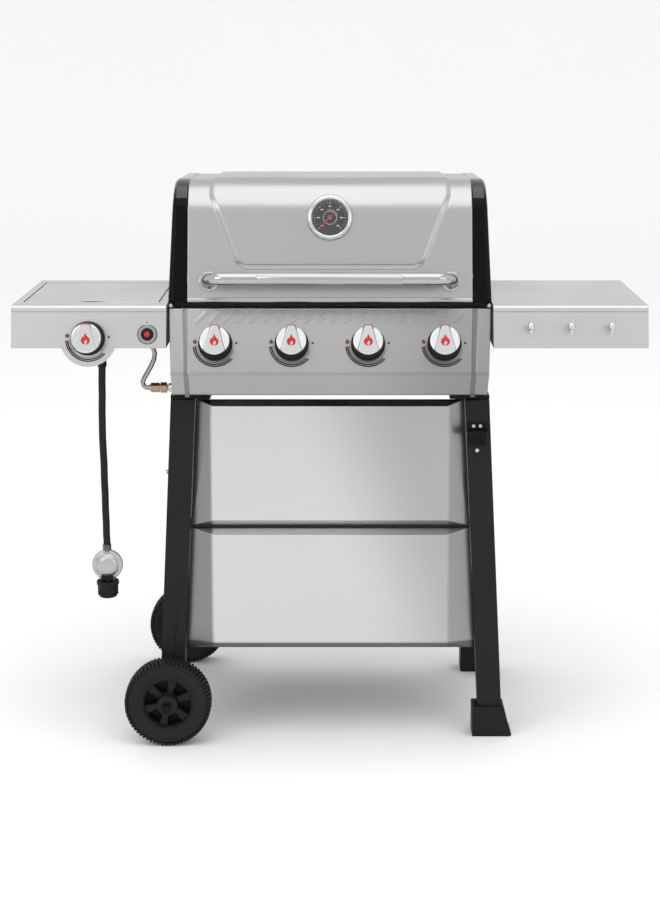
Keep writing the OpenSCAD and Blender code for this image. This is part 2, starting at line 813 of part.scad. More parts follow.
module regulator_nut() {
    low = reg_z - 69;
    color(black) translate([reg_x, reg_y, low]) difference() {
        union() {
            cylinder(h = 35, r = 20);
            translate([0, 0, 6]) cylinder(h = 20, r1 = 20, r2 = 23.5);
            for (a = [0:30:330]) rotate(a) translate([18, -2, 0]) cube([6, 4, 28]);
        }
        translate([0, 0, -1]) cylinder(h = 40, r = 7 + axle_play);
    }
}

// ---- lid ----

module lid_hinges() {
    low = ledge_high + sheet + 12;
    tab_end = sheet + 0.1 - box_x;
    color(dark_steel) for (s = [-1, 1]) {
        inner = s > 0 ? 308 : -312;
        extrude_x(inner, inner + 4) polygon([
            [box_rear - 18, low], [box_rear - 6, low], [box_rear - 6, hinge_z - 6],
            [hinge_y + 6, hinge_z - 6], [hinge_y + 6, hinge_z + 6], [box_rear - 18, hinge_z + 6]
        ]);
        rod_x(s > 0 ? 311 : -lid_x + 4, s > 0 ? lid_x - 4 : -311, hinge_y, hinge_z, hinge_r);
        block([s > 0 ? 308 : tab_end, box_rear - 18, low], [s > 0 ? -tab_end : -308, box_rear - 12, low + 14]);
    }
}

module lid_skin() {
    color(steel) difference() {
        extrude_x(-skin_x, skin_x) polygon(lid_outline(0));
        extrude_x(-skin_x - 1, skin_x + 1) polygon(lid_outline(lid_sheet));
        block([-skin_x - 1, lid_front_y - 5, lid_z - 1], [skin_x + 1, lid_rear_y + 5, lid_z + 0.01]);
        on_face(0, front_y(gauge_z), gauge_z, lid_lean) cylinder(h = 20, r = 6, center = true);
    }
}

module lid_cap(s) {
    from = s > 0 ? skin_x + 0.2 : -lid_x;
    to = s > 0 ? lid_x : -skin_x - 0.2;
    color(black) difference() {
        union() {
            difference() {
                extrude_x(from, to) polygon(lid_outline(0));
                extrude_x(s > 0 ? from - 1 : from + cap_sheet, s > 0 ? to - cap_sheet : to + 1)
                    polygon(lid_outline(cap_sheet));
                block([from - 1, lid_front_y, lid_z - 1], [to + 1, lid_rear_y, lid_z + 0.01]);
            }
            rod_x(s > 0 ? 316 : 1 - lid_x, s > 0 ? lid_x - 1 : -316, hinge_y, hinge_z, 8);
        }
        rod_x(-lid_x + 3, lid_x - 3, hinge_y, hinge_z, hinge_r + hinge_play);
    }
}

module handle_bar() {
    color(chrome) {
        rod_x(-bar_x, bar_x, bar_y, bar_z, bar_r - 3);
        for (s = [-1, 1]) {
            rod_x(s > 0 ? sleeve_x : -bar_x, s > 0 ? bar_x : -sleeve_x, bar_y, bar_z, bar_r);
            translate([s * post_x, bar_y, bar_z]) rotate([-90 - lid_lean, 0, 0]) {
                cylinder(h = post_len - 0.2, r = 8);
                translate([0, 0, post_len - 8]) cylinder(h = 7.8, r = 20);
            }
        }
    }
}

module handle_sleeve() {
    color(steel) difference() {
        rod_x(0.2 - sleeve_x, sleeve_x - 0.2, bar_y, bar_z, bar_r);
        rod_x(-sleeve_x - 1, sleeve_x + 1, bar_y, bar_z, bar_r - 3 + 0.02);
    }
}

module gauge_case() {
    color(chrome) on_face(0, front_y(gauge_z), gauge_z, lid_lean) {
        difference() {
            translate([0, 0, 0.2]) cylinder(h = gauge_h, r = gauge_r);
            translate([0, 0, 4]) cylinder(h = gauge_h, r = dial_r);
        }
        cylinder(h = 12, r = needle_pin_r);
        translate([0, 0, -60]) cylinder(h = 61, r = 4);
    }
}

module gauge_needle() {
    color("red") on_face(0, front_y(gauge_z), gauge_z, lid_lean) translate([0, 0, needle_h]) difference() {
        union() {
            cylinder(h = 2, r = 5);
            rotate(needle_rest) translate([-1.2, -8, 0.3]) cube([2.4, needle_len + 8, 1.2]);
        }
        translate([0, 0, -1]) cylinder(h = 5, r = needle_pin_r + axle_play);
    }
}

leg(-1, -1, axle_z - 20);  // leg_front_left
leg(1, -1, 24);  // leg_front_right
leg(-1, 1, axle_z - 20);  // leg_rear_left
leg(1, 1, 24);  // leg_rear_right
foot(-1);  // foot_front
foot(1);  // foot_rear
cart_rails();
bottom_shelf();
front_panel(panel_high);  // panel_upper
front_panel(panel_low);  // panel_lower
body_brackets();
axle();
wheel(-1);  // wheel_front
wheel(1);  // wheel_rear
bottle_opener();
cart_screws();
firebox();
burners();
flame_tamers();
cooking_grates();
warming_rack();
grease_tray();
control_panel();
knob_bezels();
manifold();
valves();
on_control(0) stem();  // stem_1
on_control(1) stem();  // stem_2
on_control(2) stem();  // stem_3
on_control(3) stem();  // stem_4
on_shelf_face(side_x, side_knob_z) stem();  // stem_side
on_control(0) knob();  // knob_1
on_control(1) knob();  // knob_2
on_control(2) knob();  // knob_3
on_control(3) knob();  // knob_4
on_shelf_face(side_x, side_knob_z) knob();  // knob_side
shelf_left();
shelf_right();
knob_plate();
side_burner_bowl();
side_burner_head();
trivet();
side_burner_lid();
igniter_bezel();
igniter_button();
tool_hooks();
gas_tube();
gas_fittings();
inlet_fitting();
hose();
regulator();
regulator_nut();
lid_hinges();
lid_skin();
lid_cap(-1);  // lid_cap_left
lid_cap(1);  // lid_cap_right
handle_bar();
handle_sleeve();
gauge_case();
gauge_needle();
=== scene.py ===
"""Looks of the four burner gas grill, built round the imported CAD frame. Metres, +Z up, -Y is the front."""

import json
import math

import bmesh
import bpy
from mathutils import Matrix, Vector


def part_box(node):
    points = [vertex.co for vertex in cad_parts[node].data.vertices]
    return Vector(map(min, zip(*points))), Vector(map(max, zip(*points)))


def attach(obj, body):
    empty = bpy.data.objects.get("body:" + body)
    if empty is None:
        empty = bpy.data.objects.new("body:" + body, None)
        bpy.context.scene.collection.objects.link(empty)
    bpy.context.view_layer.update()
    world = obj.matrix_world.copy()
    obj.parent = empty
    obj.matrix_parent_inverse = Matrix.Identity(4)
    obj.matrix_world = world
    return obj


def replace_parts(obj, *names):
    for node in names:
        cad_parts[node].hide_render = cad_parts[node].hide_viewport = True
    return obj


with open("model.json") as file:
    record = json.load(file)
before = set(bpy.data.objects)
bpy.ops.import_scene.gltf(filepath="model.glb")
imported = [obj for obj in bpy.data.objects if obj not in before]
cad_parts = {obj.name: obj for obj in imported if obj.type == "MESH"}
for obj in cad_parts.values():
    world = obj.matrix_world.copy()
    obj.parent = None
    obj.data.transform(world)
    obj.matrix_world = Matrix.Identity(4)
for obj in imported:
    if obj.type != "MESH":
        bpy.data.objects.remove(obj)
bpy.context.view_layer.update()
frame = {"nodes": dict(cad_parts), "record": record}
scene = bpy.context.scene
JOINTS = {j["name"]: j for j in frame["record"]["behaviour"]["joints"]}


# ---- camera ----

CAMERA_AT = Vector((0.031, -3.928, 1.475))
CAMERA_TILT = math.radians(8.72)
CAMERA_LENS = 73.0
CAMERA_SHIFT = (-0.0167, -0.15)


def make_camera():
    data = bpy.data.cameras.new("camera")
    data.lens = CAMERA_LENS
    data.sensor_width = 36.0
    data.shift_x, data.shift_y = CAMERA_SHIFT
    camera = bpy.data.objects.new("camera", data)
    camera.location = CAMERA_AT
    camera.rotation_euler = (math.radians(90) - CAMERA_TILT, 0, 0)
    scene.collection.objects.link(camera)
    scene.camera = camera


make_camera()


# ---- mesh helpers ----


def link(obj):
    scene.collection.objects.link(obj)
    return obj


def polar(r, a, h=0.0):
    """The point at a radius, an angle and a height."""
    return Vector((r * math.cos(a), r * math.sin(a), h))


def mesh_object(name, verts, faces, smooth=True):
    mesh = bpy.data.meshes.new(name)
    mesh.from_pydata([tuple(v) for v in verts], [], faces)
    mesh.validate()
    bm = bmesh.new()
    bm.from_mesh(mesh)
    bmesh.ops.remove_doubles(bm, verts=bm.verts, dist=1e-6)
    bmesh.ops.recalc_face_normals(bm, faces=bm.faces)
    bm.to_mesh(mesh)
    bm.free()
    for polygon in mesh.polygons:
        polygon.use_smooth = smooth
    return link(bpy.data.objects.new(name, mesh))


def soften(obj, width):
    """Rounds every hard edge of a piece, so that its edges catch the light."""
    weld = obj.modifiers.new("weld", "WELD")
    weld.merge_threshold = 1e-5
    bevel = obj.modifiers.new("bevel", "BEVEL")
    bevel.width = width
    bevel.segments = 2
    bevel.limit_method = "ANGLE"
    bevel.angle_limit = math.radians(30)
    bevel.harden_normals = True
    bevel.miter_outer = "MITER_ARC"
    return obj


def smooth_sharp(obj, angle=35):
    """Smooth shading that keeps edges sharper than the angle."""
    for polygon in obj.data.polygons:
        polygon.use_smooth = True
    obj.data.set_sharp_from_angle(angle=math.radians(angle))
    return obj


def thicken(obj, thickness, offset=-1.0, even=True):
    solid = obj.modifiers.new("thickness", "SOLIDIFY")
    solid.thickness = thickness
    solid.offset = offset
    solid.use_even_offset = even
    return obj


def grid(name, columns, rows, at):
    """A sheet of quads; at(column value, row value) gives each point."""
    verts = [at(u, v) for v in rows for u in columns]
    wide = len(columns)
    faces = [
        (r * wide + c, r * wide + c + 1, (r + 1) * wide + c + 1, (r + 1) * wide + c)
        for r in range(len(rows) - 1)
        for c in range(wide - 1)
    ]
    return mesh_object(name, verts, faces)


def axis_frame(origin, normal, up=Vector((0, 0, 1))):
    """A matrix whose +Z is the normal and whose +Y is as near to up as it can be."""
    z = Vector(normal).normalized()
    y = (up - up.dot(z) * z).normalized()
    x = y.cross(z)
    m = Matrix((x, y, z)).transposed().to_4x4()
    m.translation = Vector(origin)
    return m


def lathe(name, profile, matrix, steps=96, angle=2 * math.pi):
    """Turns a profile of (radius, height) points about the matrix's +Z."""
    verts, faces = [], []
    full = abs(angle - 2 * math.pi) < 1e-6
    turns = steps if full else steps + 1
    for i in range(turns):
        a = angle * i / steps
        for r, h in profile:
            verts.append(matrix @ polar(r, a, h))
    n = len(profile)
    for i in range(steps):
        j = (i + 1) % turns
        for k in range(n - 1):
            faces.append((i * n + k, j * n + k, j * n + k + 1, i * n + k + 1))
    return smooth_sharp(mesh_object(name, verts, faces))


def arc(centre, radius, start, end, steps):
    """Points (r, h) on an arc, angles in degrees."""
    return [
        (
            centre[0] + radius * math.cos(math.radians(start + (end - start) * i / steps)),
            centre[1] + radius * math.sin(math.radians(start + (end - start) * i / steps)),
        )
        for i in range(steps + 1)
    ]


def prism(name, outline, low, high, matrix):
    """Extrudes a closed outline of (x, y) points from low to high along the matrix's +Z."""
    n = len(outline)
    verts = [matrix @ Vector((x, y, h)) for h in (low, high) for x, y in outline]
    faces = [tuple(range(n)), tuple(range(n, 2 * n))]
    faces += [(i, (i + 1) % n, n + (i + 1) % n, n + i) for i in range(n)]
    return mesh_object(name, verts, faces, smooth=False)


def joined(name, objects):
    """One flat-shaded mesh in place of several small ones."""
    verts, faces = [], []
    for o in objects:
        first = len(verts)
        verts += [v.co.copy() for v in o.data.vertices]
        faces += [[first + i for i in p.vertices] for p in o.data.polygons]
        bpy.data.objects.remove(o)
    return mesh_object(name, verts, faces, smooth=False)


def ramp(a, b, x):
    """0 below a, 1 above b, a smooth step between."""
    t = min(1.0, max(0.0, (x - a) / (b - a)))
    return t * t * (3 - 2 * t)


def steps(low, high, count):
    return [low + (high - low) * i / count for i in range(count + 1)]


def lerp(a, b, t):
    return a + (b - a) * t


# ---- materials ----

MATERIALS = {}


class Shader:
    """A material's node tree, with short calls for the nodes that the finishes use."""

    def __init__(self, name, color, roughness, metallic=0.0, **constants):
        self.material = bpy.data.materials.new(name)
        self.material.use_nodes = True
        self.tree = self.material.node_tree
        self.bsdf = self.tree.nodes["Principled BSDF"]
        self.set(self.bsdf, {"Base Color": (*color, 1.0), "Roughness": roughness, "Metallic": metallic})
        self.set(self.bsdf, constants)
        self.coords = self.tree.nodes.new("ShaderNodeTexCoord").outputs["Object"]
        MATERIALS[name] = self.material

    @staticmethod
    def set(node, values):
        for key, value in values.items():
            node.inputs[key].default_value = value

    def join(self, source, node, key):
        self.tree.links.new(source, node.inputs[key])

    def mapped(self, scale):
        node = self.tree.nodes.new("ShaderNodeMapping")
        self.set(node, {"Scale": scale})
        self.join(self.coords, node, "Vector")
        return node.outputs["Vector"]

    def noise(self, vector, scale, detail=3.0, roughness=0.5):
        node = self.tree.nodes.new("ShaderNodeTexNoise")
        self.set(node, {"Scale": scale, "Detail": detail, "Roughness": roughness})
        self.join(vector, node, "Vector")
        return node.outputs["Fac"]

    def remap(self, source, low, high):
        """Stretches the middle of a noise from 0.3 and 0.7 to low and high."""
        node = self.tree.nodes.new("ShaderNodeMapRange")
        self.set(node, {"From Min": 0.3, "From Max": 0.7, "To Min": low, "To Max": high})
        self.join(source, node, "Value")
        return node.outputs["Result"]

    def tint(self, source, a, b, start=0.3, end=0.7):
        node = self.tree.nodes.new("ShaderNodeValToRGB")
        node.color_ramp.elements[0].position = start
        node.color_ramp.elements[1].position = end
        node.color_ramp.elements[0].color = (*a, 1)
        node.color_ramp.elements[1].color = (*b, 1)
        self.join(source, node, "Fac")
        self.join(node.outputs["Color"], self.bsdf, "Base Color")
        return node.outputs["Color"]

    def paint_shade(self, color, slope, start, end, low):
        """Paints shade into a colour: scales it from 1 to low as the dot product of position and slope goes
        from start to end; a low above 1 lightens it back.
        """
        dot = self.tree.nodes.new("ShaderNodeVectorMath")
        dot.operation = "DOT_PRODUCT"
        dot.inputs[1].default_value = slope
        self.join(self.coords, dot, 0)
        factor = self.tree.nodes.new("ShaderNodeMapRange")
        factor.interpolation_type = "SMOOTHSTEP"
        self.set(factor, {"From Min": start, "From Max": end, "To Min": 1.0, "To Max": low})
        self.join(dot.outputs["Value"], factor, "Value")
        scale = self.tree.nodes.new("ShaderNodeVectorMath")
        scale.operation = "SCALE"
        self.join(color, scale, 0)
        self.join(factor.outputs["Result"], scale, "Scale")
        self.join(scale.outputs["Vector"], self.bsdf, "Base Color")
        return scale.outputs["Vector"]

    def bump(self, source, strength, distance):
        node = self.tree.nodes.new("ShaderNodeBump")
        self.set(node, {"Strength": strength, "Distance": distance})
        self.join(source, node, "Height")
        self.join(node.outputs["Normal"], self.bsdf, "Normal")

    def tangent(self, axis):
        node = self.tree.nodes.new("ShaderNodeTangent")
        node.direction_type = "RADIAL"
        node.axis = axis
        self.join(node.outputs["Tangent"], self.bsdf, "Tangent")


def shade(color, factor):
    return tuple(min(1.0, c * factor) for c in color)


def brushed(
    name, color, roughness, grain=(6, 1300, 1300), contrast=0.03, tangent="Z", anisotropic=0.5, painted_shade=(),
):
    """Metal with long fine scratches along the axis where the grain's scale is small; each (slope, start,
    end, low) entry of the shade list paints shade into its colour by position.
    """
    s = Shader(name, color, roughness, 1.0, Anisotropic=anisotropic)
    fine = s.noise(s.mapped(grain), 1.0, 3.0, 0.55)
    cloud = s.noise(s.coords, 5.0, 2.0)
    tone = s.tint(fine, shade(color, 1 - contrast), shade(color, 1 + contrast), 0.25, 0.75)
    for slope, start, end, low in painted_shade:
        tone = s.paint_shade(tone, slope, start, end, low)
    mix = s.tree.nodes.new("ShaderNodeMath")
    mix.operation = "MULTIPLY_ADD"
    s.join(s.remap(fine, -0.02, 0.03), mix, 0)
    mix.inputs[1].default_value = 1.0
    s.join(s.remap(cloud, roughness - 0.02, roughness + 0.02), mix, 2)
    s.join(mix.outputs[0], s.bsdf, "Roughness")
    s.bump(fine, 0.05, 0.0001)
    s.tangent(tangent)


def coated(name, color, roughness, grain=700, bump=0.12, coat=0.0, spread=0.12, gloss=0.25):
    """Paint or moulded plastic: a fine texture with slow changes of gloss."""
    s = Shader(name, color, roughness, 0.0, **{
        "Coat Weight": coat, "Coat Roughness": 0.06, "Specular IOR Level": gloss,
    })
    fine = s.noise(s.coords, grain, 3.0)
    cloud = s.noise(s.coords, 6.0, 3.0)
    s.tint(cloud, shade(color, 1 - spread), shade(color, 1 + spread))
    s.join(s.remap(cloud, roughness - 0.04, roughness + 0.05), s.bsdf, "Roughness")
    s.bump(fine, bump, 0.0003)


def polished(name, color, roughness):
    """Bright plating with faint handling marks."""
    s = Shader(name, color, roughness, 1.0)
    marks = s.noise(s.mapped((1, 1, 3)), 90.0, 5.0, 0.7)
    s.tint(marks, shade(color, 0.97), shade(color, 1.02))
    s.join(s.remap(marks, roughness * 0.7, roughness * 1.8), s.bsdf, "Roughness")
    s.bump(marks, 0.015, 0.0002)


def rough_metal(name, color, roughness, grain, bump, metallic=1.0):
    """Cast or machined metal with a grainy skin."""
    s = Shader(name, color, roughness, metallic)
    skin = s.noise(s.coords, grain, 6.0, 0.65)
    s.tint(skin, shade(color, 0.8), shade(color, 1.2))
    s.join(s.remap(skin, roughness - 0.08, roughness + 0.12), s.bsdf, "Roughness")
    s.bump(skin, bump, 0.0006)


def ink(name, color):
    """Printed ink: nearly flat, with the mottle of a screen print."""
    s = Shader(name, color, 0.5)
    mottle = s.noise(s.coords, 1200.0, 2.0)
    s.tint(mottle, shade(color, 0.88), shade(color, 1.12))
    s.join(s.remap(mottle, 0.42, 0.6), s.bsdf, "Roughness")


# Directions along which painted shade falls across the steel parts below.
RIGHT, LEFT_EDGE, RIGHT_EDGE, UP = (1.0, 0.0, 0.35), (-1.0, 0.0, 0.0), (1.0, 0.0, 0.0), (0.0, 0.0, 1.0)
STRIP_LEFT, STRIP_RIGHT = (-1.0, 0.0, -0.038), (1.0, 0.0, -0.038)
brushed("lid_steel", (0.425, 0.422, 0.416), 0.30)
# Painted shade on the front panels: darker towards the upper right, dark bands on the left and right bevels,
# and darker below z 0.205 along the bottom edge.
brushed("panel_steel", (0.590, 0.587, 0.580), 0.34, painted_shade=(
    (RIGHT, 0.15, 0.40, 0.68), (LEFT_EDGE, 0.243, 0.252, 0.40), (RIGHT_EDGE, 0.243, 0.252, 0.70),
    (UP, 0.211, 0.205, 0.42),
))
# Painted shade on the control panel: darker towards its right end, and a dark painted strip in the groove
# near each end, lightened back beyond it.
brushed("control_steel", (0.345, 0.343, 0.337), 0.32, painted_shade=(
    (RIGHT_EDGE, 0.02, 0.28, 0.76), (STRIP_LEFT, 0.2572, 0.2582, 0.60), (STRIP_LEFT, 0.2676, 0.2686, 1.67),
    (STRIP_RIGHT, 0.2572, 0.2582, 0.60), (STRIP_RIGHT, 0.2676, 0.2686, 1.67),
))
# Painted shade: a thin dark line on the shelves just under their rounded front edge.
brushed("shelf_steel", (0.545, 0.542, 0.536), 0.33, painted_shade=(
    (UP, 0.9160, 0.9166, 0.72), (UP, 0.9186, 0.9192, 1.40),
))
brushed("burner_steel", (0.50, 0.48, 0.45), 0.38, grain=(900, 6, 900), contrast=0.1, tangent="X")
brushed("sleeve_steel", (0.43, 0.427, 0.420), 0.26, contrast=0.05, tangent="X")
brushed("knob_silver", (0.62, 0.63, 0.64), 0.30, contrast=0.01, anisotropic=0.2)
coated("leg_coat", (0.012, 0.012, 0.0125), 0.50, 650, 0.2, gloss=0.16)
coated("firebox_coat", (0.020, 0.020, 0.021), 0.55, 500, 0.25)
coated("black_coat", (0.005, 0.005, 0.005), 0.42, 600, 0.15, gloss=0.12)
coated("black_plastic", (0.009, 0.009, 0.0095), 0.48, 900, 0.1, spread=0.08, gloss=0.18)
coated("wheel_plastic", (0.012, 0.012, 0.0125), 0.55, 700, 0.15, spread=0.15, gloss=0.18)
coated("enamel", (0.002, 0.002, 0.0025), 0.22, 160, 0.02, coat=0.02, spread=0.3, gloss=0.08)
# A glossier copy of the enamel for the caps' steep faces: painted sheen for the light from above.
coated("enamel_crown_painted_sheen", (0.002, 0.002, 0.0025), 0.22, 160, 0.02, coat=0.35, spread=0.3, gloss=0.5)
coated("hose_rubber", (0.009, 0.009, 0.009), 0.5, 800, 0.15, gloss=0.2)
coated("needle_red", (0.55, 0.02, 0.015), 0.35, 900, 0.03)
coated("button_red", (0.52, 0.022, 0.018), 0.35, 900, 0.03)
coated("dial_face", (0.018, 0.018, 0.020), 0.4, 1200, 0.03)
polished("chrome", (0.60, 0.60, 0.61), 0.07)
polished("handle_chrome", (0.44, 0.44, 0.447), 0.07)
polished("tube_steel", (0.33, 0.33, 0.335), 0.16)
polished("bolt_zinc", (0.50, 0.50, 0.49), 0.24)
rough_metal("zinc_cast", (0.44, 0.45, 0.46), 0.34, 900, 0.08)
rough_metal("dark_zinc", (0.17, 0.17, 0.175), 0.34, 700, 0.08)
rough_metal("brass", (0.38, 0.29, 0.18), 0.28, 500, 0.04)
rough_metal("cast_iron", (0.022, 0.022, 0.023), 0.62, 420, 0.5, metallic=0.35)
ink("ink_black", (0.012, 0.012, 0.012))
ink("ink_red", (0.17, 0.030, 0.024))
ink("ink_white", (0.75, 0.75, 0.74))
ink("ink_orange", (0.6, 0.22, 0.03))


def make_glass():
    s = Shader("lens_glass", (1, 1, 1), 0.02, 0.0, **{"Transmission Weight": 1.0, "IOR": 1.45})
    s.join(s.remap(s.noise(s.coords, 40.0), 0.01, 0.04), s.bsdf, "Roughness")


make_glass()


def paint(obj, name):
    obj.data.materials.clear()
    obj.data.materials.append(MATERIALS[name])
    return obj


def piece(obj, material, body):
    """Finishes a new piece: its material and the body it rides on."""
    paint(obj, material)
    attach(obj, body)
    return obj


# ---- CAD nodes that keep their own shape ----

KEPT = {
    "leg_coat": [
        "leg_front_left", "leg_front_right", "leg_rear_left", "leg_rear_right",
        "cart_rails", "bottom_shelf",
    ],
    "firebox_coat": ["firebox", "lid_hinges", "side_burner_bowl"],
    "black_coat": ["body_brackets", "axle", "bottle_opener"],
    "black_plastic": ["foot_front", "foot_rear", "knob_bezels", "igniter_bezel"],
    "panel_steel": ["panel_upper", "panel_lower"],
    "shelf_steel": ["shelf_left", "shelf_right", "side_burner_lid", "knob_plate"],
    "tube_steel": ["gas_tube"],
    "burner_steel": ["burners", "flame_tamers", "grease_tray"],
    "sleeve_steel": ["handle_sleeve"],
    "chrome": [
        "tool_hooks", "handle_bar", "warming_rack",
        "stem_1", "stem_2", "stem_3", "stem_4", "stem_side",
    ],
    "bolt_zinc": ["cart_screws", "manifold"],
    "brass": ["valves", "gas_fittings", "inlet_fitting"],
    "cast_iron": ["cooking_grates", "side_burner_head", "trivet"],
    "needle_red": ["gauge_needle"],
}
EDGE_WIDTH = {
    "foot_front": 0.004, "foot_rear": 0.004, "panel_upper": 0.0025, "panel_lower": 0.0025,
    "leg_front_left": 0.0025, "leg_front_right": 0.0025, "leg_rear_left": 0.0025, "leg_rear_right": 0.0025,
    "side_burner_lid": 0.0006, "shelf_left": 0.0006, "shelf_right": 0.0006, "handle_bar": 0.0025,
    "tool_hooks": 0.0018, "bottle_opener": 0.0015, "cooking_grates": 0.0015, "knob_bezels": 0.001,
}
for material_name, node_names in KEPT.items():
    for node_name in node_names:
        node = frame["nodes"][node_name]
        paint(node, material_name)
        soften(node, EDGE_WIDTH.get(node_name, 0.0005))


# ---- lid ----

LID_LOW, LID_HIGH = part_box("lid_skin")
CAP_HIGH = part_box("lid_cap_right")[1]
LID_LEAN = math.radians(12)
SHOULDER_R = 0.080
SHOULDER_Z = LID_LOW.z + 0.164
BACK_R = 0.100
TOP_FALL = 0.007
SHOULDER_Y = LID_LOW.y + 0.164 * math.tan(LID_LEAN) + SHOULDER_R / math.cos(LID_LEAN)


def lid_path(inset=0.0):
    """The lid's outline as (length, point function) stretches, from front to back."""
    front_foot = Vector((LID_LOW.y + inset / math.cos(LID_LEAN), LID_LOW.z))
    shoulder = Vector((SHOULDER_Y, SHOULDER_Z))
    back = Vector((LID_HIGH.y - BACK_R, LID_HIGH.z - TOP_FALL - BACK_R))
    r1, r2 = SHOULDER_R - inset, BACK_R - inset

    def on_arc(centre, r, a):
        return centre + r * Vector((-math.cos(a), math.sin(a)))

    top = math.radians(90)
    arc_a = (on_arc(shoulder, r1, LID_LEAN), on_arc(shoulder, r1, top))
    arc_b = (on_arc(back, r2, top), on_arc(back, r2, math.pi))
    rear_foot = Vector((LID_HIGH.y - inset, LID_LOW.z))
    return [
        ((arc_a[0] - front_foot).length, lambda t: front_foot.lerp(arc_a[0], t)),
        (r1 * (top - LID_LEAN), lambda t: on_arc(shoulder, r1, lerp(LID_LEAN, top, t))),
        ((arc_b[0] - arc_a[1]).length, lambda t: arc_a[1].lerp(arc_b[0], t)),
        (r2 * top, lambda t: on_arc(back, r2, lerp(top, math.pi, t))),
        ((rear_foot - arc_b[1]).length, lambda t: arc_b[1].lerp(rear_foot, t)),
    ]


LID_PATH = lid_path()
LID_LENGTH = sum(length for length, _ in LID_PATH)


def on_path(path, s):
    """The (y, z) point and outward normal at a distance along the outline."""

    def point(at):
        for length, f in path:
            if at <= length or f is path[-1][1]:
                return f(at / length)
            at -= length

    a, b = point(max(0.0, s - 2e-4)), point(min(s + 2e-4, LID_LENGTH - 1e-6))
    along = (b - a).normalized()
    return point(s), Vector((-along.y, along.x))


RAISE_FOOT = 0.0675
RAISE_LOW_HALF = 0.192
RAISE_TOP_HALF = 0.250
RAISE_TOP = 0.222
RAISE_CORNER = 0.024
RAISE_HEIGHT = 0.0045
RAISE_SLOPE = 0.0105


def lid_relief(x, s):
    """Height of the panel pressed out of the skin, less a crease round it, with a rolled hem below."""
    rise = min(1.0, max(0.0, (s - RAISE_FOOT) / (RAISE_TOP - RAISE_FOOT)))
    half = lerp(RAISE_LOW_HALF, RAISE_TOP_HALF, rise)
    d1, d2 = s - RAISE_FOOT, (half - abs(x)) * 0.94
    inside = min(RAISE_CORNER, max(d1, d2) if min(d1, d2) > RAISE_CORNER else RAISE_CORNER)
    a, b = max(RAISE_CORNER - d1, 0.0), max(RAISE_CORNER - d2, 0.0)
    distance = inside - math.hypot(a, b) if a or b else RAISE_CORNER
    up = RAISE_HEIGHT * min(1.0, max(0.0, distance / RAISE_SLOPE))
    crease = 0.0006 * math.exp(-((distance / 0.0022) ** 2))
    hem = 0.0016 * math.exp(-(((s - 0.004) / 0.0028) ** 2))
    return up - crease + hem


def make_lid_skin():
    rows = steps(0.0, 0.31, 150) + steps(0.315, LID_LENGTH - 1e-6, 70)
    xs = steps(LID_LOW.x, LID_HIGH.x, 260)
    frames = {s: on_path(LID_PATH, s) for s in rows}

    def at(x, s):
        p, n = frames[s]
        q = p + n * lid_relief(x, s)
        return Vector((x, q.x, q.y))

    skin = grid("lid_outer_skin", xs, rows, at)
    thicken(skin, 0.0013)
    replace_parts(piece(skin, "lid_steel", "lid"), "lid_skin")


CAP_ROUND = 0.012
CAP_TAPER = 0.010
CROWN_TILT = math.sin(math.radians(34))


def make_lid_cap(side):
    """A glossy end cap: a rim beside the skin, a rounded edge and a dished side face, with a painted sheen on
    its steep faces.
    """
    inner = LID_HIGH.x + 0.0006
    outer = CAP_HIGH.x
    rings = [(inner, 0.004), (inner, 0.0), (inner + 0.0015, -0.0012)]
    for i in range(9):
        a = math.radians(90 * i / 8)
        rings.append((outer - CAP_ROUND + CAP_ROUND * math.sin(a), CAP_ROUND * (1 - math.cos(a)) - 0.0012))
    rings += [(outer, 0.030), (outer - 0.0008, 0.0318), (outer - 0.0035, 0.034), (outer - 0.0042, 0.037)]
    count = 150
    verts = []
    for x, inset in rings:
        path = lid_path(max(inset, -0.0012))
        total = sum(length for length, _ in path)
        for i in range(count + 1):
            at = total * i / count
            for length, f in path:
                if at <= length or f is path[-1][1]:
                    p = f(min(1.0, at / length))
                    break
                at -= length
            rise = (p.y - LID_LOW.z) / (LID_HIGH.z - LID_LOW.z)
            verts.append((side * (x - CAP_TAPER * rise * (x - inner) / (outer - inner)), p.x, p.y))
    wide = count + 1
    faces = [
        (r * wide + c, r * wide + c + 1, (r + 1) * wide + c + 1, (r + 1) * wide + c)
        for r in range(len(rings) - 1)
        for c in range(count)
    ]
    last = (len(rings) - 1) * wide
    faces += [(last + c, last + c + 1, last + count - c - 1, last + count - c) for c in range(count // 2)]
    name = "right" if side > 0 else "left"
    cap = mesh_object("lid_end_" + name, verts, faces)
    smooth_sharp(cap, 40)
    solid = thicken(cap, 0.0022)
    solid.modifiers["thickness"].use_even_offset = False
    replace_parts(piece(cap, "enamel", "lid"), "lid_cap_" + name)
    # Faces that tilt up or down by more than 34 degrees get the glossier enamel copy: painted sheen on the
    # caps' shoulders.
    cap.data.materials.append(MATERIALS["enamel_crown_painted_sheen"])
    for face in cap.data.polygons:
        if abs(face.normal.z) > CROWN_TILT:
            face.material_index = 1


# ---- handle ----

BAR_LOW, BAR_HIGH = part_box("handle_sleeve")
BAR_AT = (BAR_LOW + BAR_HIGH) / 2
BAR_R = (BAR_HIGH.z - BAR_LOW.z) / 2
HANDLE_HALF = 0.249
BEND = 0.040
ROSETTE_DROP = 0.016


def lid_front(z):
    return LID_LOW.y + (z - LID_LOW.z) * math.tan(LID_LEAN)


